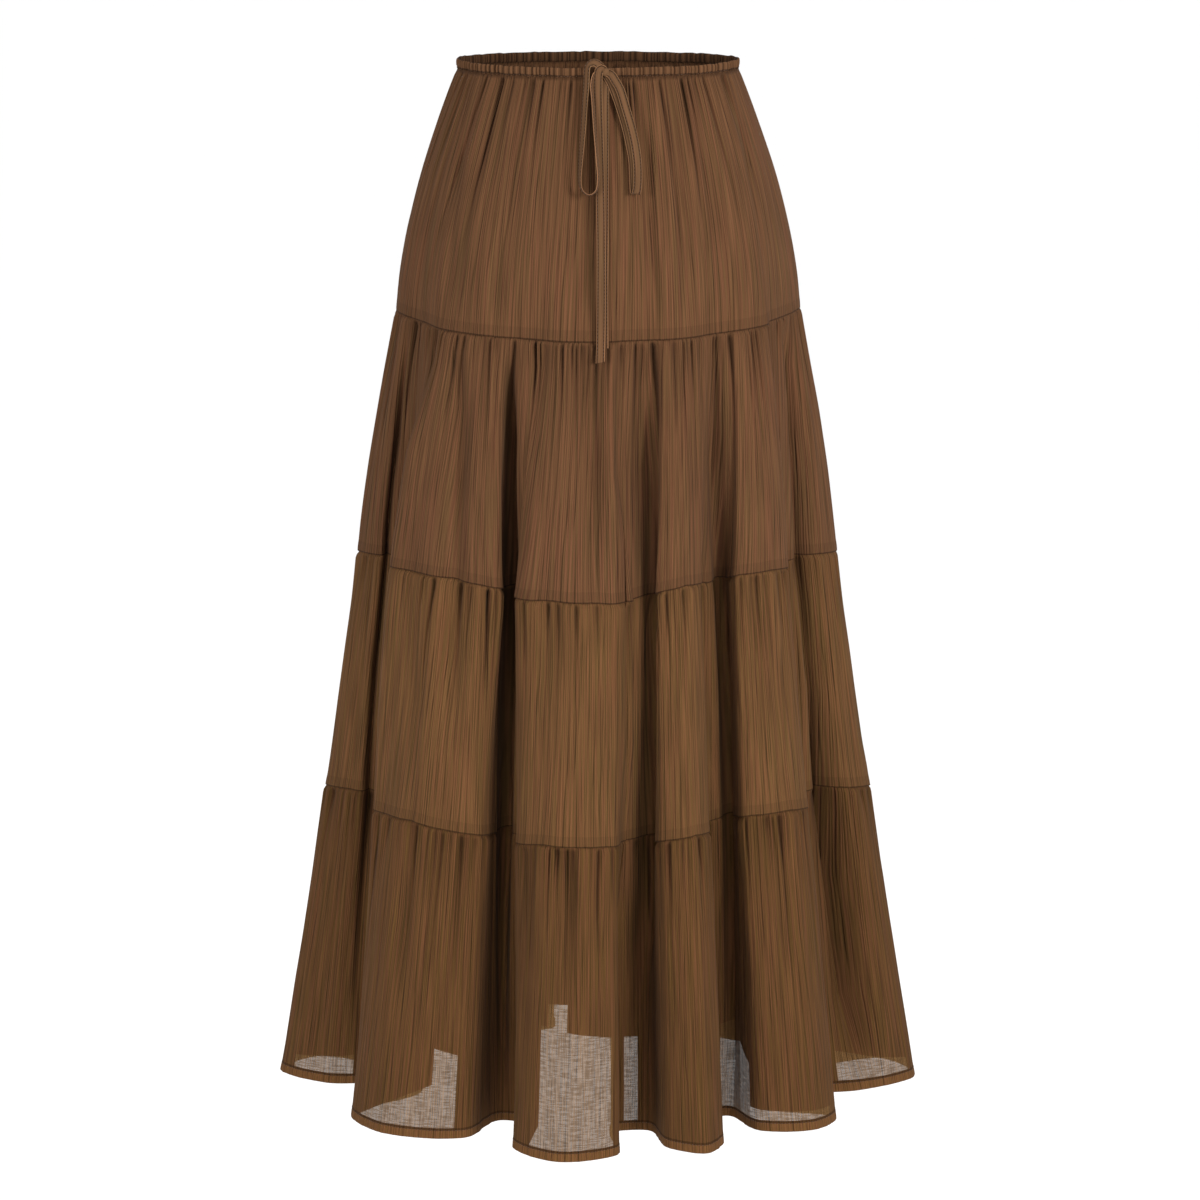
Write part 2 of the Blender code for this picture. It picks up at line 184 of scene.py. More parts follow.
Fold = collections.namedtuple("Fold", "name left right crown left_edge right_edge left_tuck right_tuck floor")
FOLDS = (
    Fold("left_side", -106, -84, 1.01, 0.93, 0.86, 2, -4, 0.58),
    Fold("left_front", -57.3, -28, 0.96, 0.90, 0.86, -15, 0, 0.62),
    Fold("centre", -15.5, 3, 1.05, 0.93, 0.97, -4, -2, 0.68),
    Fold("right_centre", 14, 24, 1.00, 0.92, 0.92, -2, -8, 0.63),
    Fold("right_front", 36, 54, 0.94, 0.84, 0.90, 2, 2, 0.67),
    Fold("right_side", 77, 104, 1.00, 0.84, 0.93, -9, 2, 0.70),
    Fold("back_right", 114, 134, 0.98, 0.92, 0.92, 2, 2, 0.66),
    Fold("back_mid_right", 144, 164, 1.02, 0.94, 0.92, 1, 2, 0.64),
    Fold("back_centre", 174, 195, 1.03, 0.95, 0.92, 2, 2, 0.66),
    Fold("back_mid_left", 205, 222, 0.99, 0.90, 0.94, 2, 1, 0.68),
    Fold("back_left", 231, 246, 1.00, 0.93, 0.90, 1, 2, 0.72),
)
FLARES = (1.60, 1.25, 1.00, 1.00)  # how soon each tier widens; 1 is a straight side


def hem_turns():
    """The points where the hem turns, as degrees from the centre front and shares of the ring's ellipse."""
    turns = []
    for fold, after in zip(FOLDS, FOLDS[1:] + FOLDS[:1]):
        after_left = after.left + (360 if after.left < fold.left else 0)
        turns += [
            (fold.left, fold.left_edge),
            ((fold.left + fold.right) / 2, fold.crown),
            (fold.right, fold.right_edge),
            (fold.right - fold.right_tuck, fold.floor),
            (after_left + after.left_tuck, fold.floor),
        ]
    return np.array(turns, float)


def ring_points(turns, half_width, half_depth):
    angle = np.radians(turns[:, 0])
    return np.column_stack(
        [half_width * turns[:, 1] * np.sin(angle), -half_depth * turns[:, 1] * np.cos(angle)]
    )


def cloth_shares(turns):
    """Each turn's share of the cloth, from the lengths along the hem."""
    points = ring_points(turns, RINGS[-1].half_width, RINGS[-1].half_depth)
    steps = np.linalg.norm(np.roll(points, -1, axis=0) - points, axis=1)
    shares = np.concatenate([[0.0], np.cumsum(steps)[:-1]]) / steps.sum()
    return shares - np.interp(0.0, turns[:, 0], shares)


TURNS = hem_turns()
SHARES = cloth_shares(TURNS)


def ring_at(level):
    """The ring at this level, between two rows of RINGS."""
    tier = min(max(int(level), 0), 3)
    down = level - tier
    upper, lower = RINGS[tier], RINGS[tier + 1]
    widen = 1 - (1 - down) ** FLARES[tier] if down > 0 else FLARES[tier] * down
    mix = {name: a + (b - a) * down for name, a, b in zip(Ring._fields[1:], upper[1:], lower[1:])}
    for name in ("half_width", "half_depth"):
        first = getattr(upper, name)
        mix[name] = first + (getattr(lower, name) - first) * widen
    return Ring("between", **mix)


def hermite(x, span, start, leaving, end, arriving):
    """A cubic from start to end, at x of its span, that leaves and arrives with the slopes given."""
    return (
        (2 * x**3 - 3 * x**2 + 1) * start
        + (x**3 - 2 * x**2 + x) * span * leaving
        + (3 * x**2 - 2 * x**3) * end
        + (x**3 - x**2) * span * arriving
    )


def plan(share, level):
    """Points of the ring seen from above, on a smooth closed curve through its turns."""
    ring = ring_at(level)
    turns = TURNS.copy()
    turns[:, 0] = 360 * SHARES + (TURNS[:, 0] - 360 * SHARES) * ring.turn
    turns[:, 1] = 1 + (TURNS[:, 1] - 1) * ring.depth
    points = ring_points(turns, ring.half_width, ring.half_depth)
    knots = np.concatenate([[SHARES[-1] - 1], SHARES, SHARES[:2] + 1])
    points = np.vstack([points[-1:], points, points[:2]])
    spans = np.diff(knots)[:, None]
    slopes = np.diff(points, axis=0) / spans
    tangents = (slopes[:-1] * spans[1:] + slopes[1:] * spans[:-1]) / (spans[1:] + spans[:-1])
    place = knots[1] + np.mod(np.asarray(share, float) - knots[1], 1.0)
    at = np.clip(np.searchsorted(knots, place, side="right") - 1, 1, len(SHARES))
    span = knots[at + 1] - knots[at]
    x = ((place - knots[at]) / span)[:, None]
    span = span[:, None]
    return hermite(x, span, points[at], tangents[at - 1], points[at + 1], tangents[at])


def outward(share, level):
    """The level unit normals of the ring, pointing out of the skirt."""
    step = 0.0004
    along = plan(share + step, level) - plan(share - step, level)
    along /= np.linalg.norm(along, axis=1)[:, None]
    return np.column_stack([along[:, 1], -along[:, 0]])


def height(share, level):
    ring = ring_at(level)
    return ring.side_z - ring.front_drop * np.clip(np.cos(2 * math.pi * share), 0, 1)


def path_length(points):
    return float(np.linalg.norm(np.diff(points, axis=0), axis=1).sum())


SEAM_LENGTHS = [path_length(plan(np.linspace(0, 1, 1601), level)) for level in range(5)]
print("round the waist, the seams and the hem:", [round(length, 3) for length in SEAM_LENGTHS])

# %% [markdown]
# ## The tie
#
# The tie is a long flat tape of the same gauze, folded and stitched along both edges, and tied in a bow
# with two drooping loops and two tails. It could be a curve with a flat bevel, but a curve can't follow a
# tape that turns from its face to its edge as freely as a sweep does. So the section of the tape is swept
# along each route: every row gives a place, the room in front of the cloth and the turn of the tape, 0
# degrees where it shows its face and 90 where it shows its edge.

# %% Routes of the tie
TAPE_WIDTH = 0.0075
TAPE_THICKNESS = 0.0011
TAPE_STITCH_INSET = 0.0011  # from the tape's edge to its stitches
ROUTE_STEP = 0.0014
END_SLANT = 0.0016  # how much shorter one edge of a tail's cut end is
STAND_OFF = (0.0036, 0.0058)  # room for the gathers of the first two tiers
WALL = 0.0012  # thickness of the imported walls

TIE_ROUTES = {
    "tie_loop_left": (
        (0.0043, -0.0039, 0.0046, 35), (0.0005, 0.0002, 0.0050, 30), (-0.0037, 0.0019, 0.0055, 38),
        (-0.0081, -0.0005, 0.0062, 52), (-0.0093, -0.0058, 0.0070, 50), (-0.0097, -0.0165, 0.0072, 50),
        (-0.0107, -0.0287, 0.0066, 52), (-0.0123, -0.0531, 0.0060, 56), (-0.0143, -0.0775, 0.0056, 62),
        (-0.0151, -0.0937, 0.0056, 70), (-0.0129, -0.1022, 0.0056, 78), (-0.0070, -0.1059, 0.0066, 80),
        (-0.0014, -0.1020, 0.0078, 80), (0.0003, -0.0917, 0.0090, 78), (-0.0006, -0.0771, 0.0096, 76),
        (-0.0026, -0.0528, 0.0092, 74), (-0.0041, -0.0286, 0.0080, 70), (-0.0045, -0.0166, 0.0064, 60),
        (-0.0020, -0.0085, 0.0044, 45), (0.0022, -0.0061, 0.0036, 30),
    ),
    "tie_loop_right": (
        (0.0072, -0.0065, 0.0040, 10), (0.0110, -0.0081, 0.0056, 6), (0.0148, -0.0137, 0.0074, 2),
        (0.0187, -0.0206, 0.0080, 0), (0.0238, -0.0369, 0.0078, -4), (0.0279, -0.0508, 0.0072, -4),
        (0.0312, -0.0655, 0.0066, -2), (0.0331, -0.0802, 0.0064, 0), (0.0334, -0.0940, 0.0064, 4),
        (0.0327, -0.1025, 0.0062, 6), (0.0315, -0.1055, 0.0048, 6), (0.0305, -0.1024, 0.0034, 4),
        (0.0300, -0.0926, 0.0032, 0), (0.0292, -0.0779, 0.0034, 0), (0.0265, -0.0632, 0.0036, -4),
        (0.0232, -0.0494, 0.0036, -6), (0.0189, -0.0355, 0.0038, -4), (0.0145, -0.0233, 0.0040, 0),
        (0.0106, -0.0143, 0.0038, 4), (0.0071, -0.0090, 0.0030, 10),
    ),
    "tie_tail_front": (
        (0.0047, -0.0047, 0.0050, 0), (0.0031, -0.0032, 0.0062, -4), (0.0011, -0.0047, 0.0068, -2),
        (0.0002, -0.0092, 0.0066, 0), (-0.0000, -0.0206, 0.0068, 4), (0.0004, -0.0408, 0.0054, 8),
        (0.0012, -0.0691, 0.0040, 6), (0.0021, -0.1096, 0.0030, -4), (0.0026, -0.1422, 0.0026, -8),
        (0.0027, -0.1749, 0.0024, -4), (0.0026, -0.2079, 0.0024, 2), (0.0023, -0.2286, 0.0030, 6),
        (0.0019, -0.2445, 0.0032, 4),
    ),
    "tie_tail_back": (
        (0.0056, -0.0086, 0.0030, 0), (0.0058, -0.0128, 0.0022, 0), (0.0057, -0.0224, 0.0040, -6),
        (0.0056, -0.0451, 0.0030, -10), (0.0054, -0.0735, 0.0020, -8), (0.0053, -0.1060, 0.0010, -4),
        (0.0051, -0.1385, 0.0008, 0), (0.0049, -0.1753, 0.0007, 4), (0.0049, -0.2083, 0.0008, 6),
        (0.0050, -0.2338, 0.0012, 8),
    ),
}
FACE_ON = ("tie_loop_right",)  # the loop that folds back behind itself, with its face to the front
FAR_ENDS = {name: "knot" if "loop" in name else "bare" for name in TIE_ROUTES}


def front_surface(x, z):
    """The y of the cloth at the front, ahead of its gathers, for what hangs there."""
    shares = np.linspace(-0.12, 0.12, 121)
    tier_height = RINGS[0].side_z - RINGS[1].side_z
    level = 0.0
    for _ in range(6):
        level += (np.interp(x, plan(shares, level)[:, 0], height(shares, level)) - z) / tier_height
        level = min(max(level, 0.0), 2.0)
    ring = plan(shares, level)
    stand_off = STAND_OFF[0] if level < 1 else STAND_OFF[1]
    return np.interp(x, ring[:, 0], ring[:, 1]) - stand_off / 2 - WALL / 2


def running_length(points):
    """How far along a path each of its points lies."""
    return np.concatenate([[0.0], np.cumsum(np.linalg.norm(np.diff(points, axis=0), axis=1))])


def tie_route(name):
    """Even points along a smooth curve through a tie's rows, and the tape's turn in degrees at each."""
    rows = np.array(TIE_ROUTES[name])
    y = [front_surface(x, min(z, -CASING_HEIGHT)) - clear for x, z, clear, _ in rows]
    route = np.column_stack([rows[:, 0], y, rows[:, 1], rows[:, 3]])
    chords = np.sqrt(np.linalg.norm(np.diff(route[:, :3], axis=0), axis=1))
    slopes = np.diff(route, axis=0) / chords[:, None]
    tangents = np.vstack([slopes[:1], (slopes[1:] + slopes[:-1]) / 2, slopes[-1:]])
    fine = []
    for i, span in enumerate(chords):
        for x in np.arange(24) / 24:
            fine.append(hermite(x, span, route[i], tangents[i], route[i + 1], tangents[i + 1]))
    fine = np.array(fine + [route[-1]])
    lengths = running_length(fine[:, :3])
    even = np.linspace(0.0, lengths[-1], int(lengths[-1] / ROUTE_STEP) + 1)
    return np.column_stack([np.interp(even, lengths, fine[:, axis]) for axis in range(4)])


routes = {name: tie_route(name) for name in TIE_ROUTES}
for name, route in routes.items():
    print(name, "is", round(path_length(route[:, :3]), 3), "m long")

# %% [markdown]
# ## The tape of the tie
#
# The section of the tape is flat with rounded edges, and a little thinner along both rows of stitches. It
# is carried along each route and turned by the route's own angle. A loop that lies with its face to the
# front is held by its width instead, because it turns over at its foot. The UV map holds how far across and
# how far along the tape a place lies, in metres, so that the weave follows the tape.

# %% Tape
STITCH_DENT = 0.00016
DENT_WIDTH = 0.0004


def tape_section():
    """The tape across: places over its width and thickness, with a dent along both rows of stitches."""
    half = TAPE_WIDTH / 2
    across = half * np.sin(np.linspace(-math.pi / 2, math.pi / 2, 15))
    stitches = half - TAPE_STITCH_INSET
    lift = TAPE_THICKNESS / 2 * (1 - np.abs(across / half) ** 6) ** 0.5
    lift = lift - STITCH_DENT * np.exp(-(((np.abs(across) - stitches) / DENT_WIDTH) ** 2)) * (lift > 0)
    over = np.column_stack([across, lift])
    under = np.column_stack([across[1:-1], -lift[1:-1]])[::-1]
    return np.vstack([over, under])


def tape_frame(name, route):
    """The directions across the tape and out of its face, at each point of its route."""
    points, turns = route[:, :3], np.radians(route[:, 3])
    along = np.gradient(points, axis=0)
    along /= np.linalg.norm(along, axis=1)[:, None]
    held = np.array([1.0, 0.0, 0.0]) if name in FACE_ON else np.array([0.0, -1.0, 0.0])
    first = held - along * (along @ held)[:, None]
    first /= np.linalg.norm(first, axis=1)[:, None]
    side = first if name in FACE_ON else np.cross(first, along)
    toward = np.cross(along, side)
    width = side * np.cos(turns)[:, None] + toward * np.sin(turns)[:, None]
    return width, np.cross(along, width)


def finish_mesh(data, places):
    """Smooth shading, and the cloth's own places in metres as the UV map that the weave follows."""
    layer = data.uv_layers.new(name="cloth")
    corner_vertex = np.empty(len(data.loops), np.int64)
    data.loops.foreach_get("vertex_index", corner_vertex)
    layer.data.foreach_set("uv", places[corner_vertex].astype(np.float32).ravel())
    data.polygons.foreach_set("use_smooth", np.ones(len(data.polygons), bool))
    data.update()


def face_outwards(piece):
    """Turns the faces of a closed mesh outwards."""
    bpy.context.view_layer.objects.active = piece
    piece.select_set(True)
    bpy.ops.object.mode_set(mode="EDIT")
    bpy.ops.mesh.select_all(action="SELECT")
    bpy.ops.mesh.normals_make_consistent(inside=False)
    bpy.ops.object.mode_set(mode="OBJECT")
    piece.select_set(False)


def sweep(name, route, section):
    """A closed mesh with the section carried along the route, and a UV map in metres along and across."""
    points = route[:, :3]
    width, thick = tape_frame(name, route)
    count = len(section)
    corners = (
        points[:, None, :]
        + width[:, None, :] * section[None, :, :1]
        + thick[:, None, :] * section[None, :, 1:]
    )
    if FAR_ENDS[name] == "bare":
        slant = (section[:, :1] / TAPE_WIDTH + 0.5) * END_SLANT
        corners[-1] -= slant * (points[-1] - points[-6]) / ROUTE_STEP / 5
    corners = corners.reshape(-1, 3)
    faces = []
    for row in range(len(points) - 1):
        for i in range(count):
            j = (i + 1) % count
            faces.append((row * count + i, row * count + j, (row + 1) * count + j, (row + 1) * count + i))
    faces.append(tuple(range(count)))
    faces.append(tuple(range(len(corners) - count, len(corners)))[::-1])
    data = bpy.data.meshes.new("tape_" + name[4:])
    data.from_pydata(corners.tolist(), [], faces)
    places = np.column_stack([np.tile(section[:, 0], len(points)), np.repeat(running_length(points), count)])
    finish_mesh(data, places)
    piece = add_object("tape_" + name[4:], data)
    face_outwards(piece)
    return piece


tapes = {name: sweep(name, route, tape_section()) for name, route in routes.items()}
print("tape pieces:", [piece.name for piece in tapes.values()])

# %% [markdown]
# ## Where a place on the cut cloth lies on the skirt
#
# Every tier is cut as a long strip and gathered onto the tier above, so its cut width is 1.3 to 1.6 times
# its upper seam. Patterns and gathers belong to the cloth and not to the air around it. So a place on a
# tier is written the way a cutter would measure it: how far along the strip from the centre front, and how
# far down from the seam, both in metres. One function turns such a place into a share of the ring, evenly
# along the cloth. The UV map holds the same two numbers, with the second one counted upwards from the
# tier's foot.

# %% Tiers as they are cut
SEAM_ALLOWANCE = 0.0095
HEM_HEIGHT = 0.0080

Tier = collections.namedtuple("Tier", "name cut_width gathers depth length puff columns")
TIERS = (
    Tier("tier_1", 1.02, 92, 0.0042, 0.052, 0.0006, 760),
    Tier("tier_2", 1.60, 128, 0.0050, 0.044, 0.0016, 1000),
    Tier("tier_3", 2.17, 166, 0.0050, 0.042, 0.0018, 1180),
    Tier("tier_4", 3.05, 208, 0.0052, 0.044, 0.0018, 1400),
)
GRID = np.linspace(-0.25, 0.75, 1601)  # shares from the left side seam round the front and the back


def side_to_side(lengths):
    """Running lengths on GRID made into shares, with the side seams held at their places."""
    seam = len(GRID) // 2
    front = lengths[: seam + 1] / lengths[seam] / 2
    back = (lengths[seam:] - lengths[seam]) / (lengths[-1] - lengths[seam]) / 2
    return GRID[0] + np.concatenate([front, 0.5 + back[1:]])


def even_cloth(number):
    """How far round a tier each share of GRID lies, as the mean of its upper and its lower edge."""
    edges = []
    for level in (number - 1, number):
        edges.append(side_to_side(running_length(plan(GRID, level))))
    return np.mean(edges, axis=0)


EVEN_CLOTH = {number: even_cloth(number) for number in range(1, len(TIERS) + 1)}


def tier_drop(number):
    return RINGS[number - 1].side_z - RINGS[number].side_z


def strip(tier, side, count):
    """Places along the front (0) or back (1) half of a tier's strip, from side seam to side seam."""
    return (-0.25 + 0.5 * side) * tier.cut_width + np.linspace(0, tier.cut_width / 2, count)


def share_of(number, along):
    """The share of the ring at a distance along a tier's strip from its centre front."""
    turn = np.mod(along / TIERS[number - 1].cut_width + 0.25, 1.0) - 0.25
    return np.interp(turn, EVEN_CLOTH[number], GRID)


def along_at(number, x, level):
    """The distance along a tier's strip where its front passes x at this level."""
    shares = np.linspace(-0.25, 0.25, 2001)
    ring = plan(shares, level)
    near = np.where(np.abs(ring[:, 0] - x) < 0.001)[0]
    front = near[np.argmin(ring[near, 1])] if len(near) else int(np.argmin(np.abs(ring[:, 0] - x)))
    return np.interp(shares[front], GRID, EVEN_CLOTH[number]) * TIERS[number - 1].cut_width


print("tiers fall", [round(tier_drop(number), 4) for number in range(1, 5)], "m")

# %% [markdown]
# ## Creases listed one by one
#
# The creases that the eye picks out start at a seam, run down and fade. They are listed in short tables,
# one for the front of each tier, and similar ones lie on half of the back. Each has its place at the seam
# above, its depth, half its width, its length and how far it leans to the side on its way down.

# %% Main creases
Crease = collections.namedtuple("Crease", "x depth half_width length lean")
CREASE_ROWS = {  # for each tier, rows of what a Crease holds
    1: (
        (-0.116, 0.0030, 0.0017, 0.087, 0.10), (-0.095, 0.0026, 0.0016, 0.109, 0.10),
        (-0.080, 0.0030, 0.0019, 0.094, 0.06), (-0.057, 0.0028, 0.0018, 0.116, 0.04),
        (-0.047, 0.0022, 0.0015, 0.072, 0.02), (-0.023, 0.0026, 0.0018, 0.087, 0.00),
        (0.021, 0.0024, 0.0016, 0.072, 0.00), (0.053, 0.0030, 0.0019, 0.131, 0.02),
        (0.070, 0.0030, 0.0018, 0.116, 0.04), (0.090, 0.0026, 0.0016, 0.102, 0.06),
        (0.108, 0.0026, 0.0017, 0.087, 0.08),
    ),
    2: (
        (-0.158, 0.0040, 0.0018, 0.072, 0.02), (-0.132, 0.0030, 0.0016, 0.046, 0.02),
        (-0.114, 0.0034, 0.0017, 0.058, 0.02), (-0.091, 0.0038, 0.0018, 0.080, 0.00),
        (-0.072, 0.0040, 0.0019, 0.087, 0.00), (-0.053, 0.0030, 0.0016, 0.052, 0.00),
        (-0.029, 0.0036, 0.0016, 0.064, 0.00), (-0.007, 0.0030, 0.0016, 0.058, 0.00),
        (0.009, 0.0030, 0.0016, 0.052, 0.00), (0.045, 0.0044, 0.0019, 0.102, 0.00),
        (0.072, 0.0036, 0.0016, 0.064, 0.00), (0.080, 0.0030, 0.0014, 0.049, 0.00),
        (0.102, 0.0041, 0.0019, 0.087, 0.02), (0.135, 0.0036, 0.0017, 0.064, 0.02),
        (0.160, 0.0034, 0.0016, 0.058, 0.02),
    ),
    3: (
        (-0.173, 0.0036, 0.0018, 0.058, 0.02), (-0.142, 0.0040, 0.0018, 0.081, 0.02),
        (-0.119, 0.0036, 0.0017, 0.058, 0.01), (-0.108, 0.0030, 0.0015, 0.049, 0.01),
        (-0.090, 0.0034, 0.0016, 0.058, 0.00), (-0.061, 0.0040, 0.0018, 0.087, 0.00),
        (-0.017, 0.0034, 0.0016, 0.052, 0.00), (0.048, 0.0040, 0.0019, 0.087, 0.00),
        (0.057, 0.0034, 0.0016, 0.064, 0.00), (0.073, 0.0034, 0.0016, 0.058, 0.00),
        (0.104, 0.0040, 0.0018, 0.081, 0.00), (0.119, 0.0034, 0.0016, 0.058, 0.01),
        (0.135, 0.0036, 0.0017, 0.064, 0.01), (0.158, 0.0036, 0.0017, 0.070, 0.02),
    ),
    4: (
        (-0.156, 0.0038, 0.0018, 0.064, 0.01), (-0.132, 0.0040, 0.0018, 0.072, 0.01),
        (-0.115, 0.0036, 0.0017, 0.064, 0.00), (-0.042, 0.0034, 0.0016, 0.052, 0.00),
        (-0.036, 0.0030, 0.0014, 0.043, 0.00), (-0.027, 0.0036, 0.0017, 0.064, 0.00),
        (0.002, 0.0038, 0.0018, 0.087, 0.00), (0.059, 0.0038, 0.0018, 0.072, 0.00),
        (0.088, 0.0034, 0.0016, 0.052, 0.00), (0.096, 0.0036, 0.0016, 0.064, 0.00),
        (0.119, 0.0038, 0.0018, 0.081, 0.00), (0.125, 0.0030, 0.0015, 0.052, 0.00),
        (0.156, 0.0038, 0.0018, 0.072, 0.01), (0.183, 0.0036, 0.0017, 0.058, 0.02),
    ),
}
MAIN_CREASES = {number: [Crease(*row) for row in rows] for number, rows in CREASE_ROWS.items()}
print("creases placed by hand:", sum(len(rows) for rows in MAIN_CREASES.values()))

# %% [markdown]
# ## Grooves between the folds
#
# Long soft grooves run down through all the tiers between the large folds and sharpen their valleys. A
# groove has half a width to its left and to its right, and a path of levels with its share and its depth
# there. Where the depth is negative the cloth swells instead, as a full fold does beside its valley. A
# fold's crest also lifts the seams that cross it, because the cloth bows outwards there on its way down.

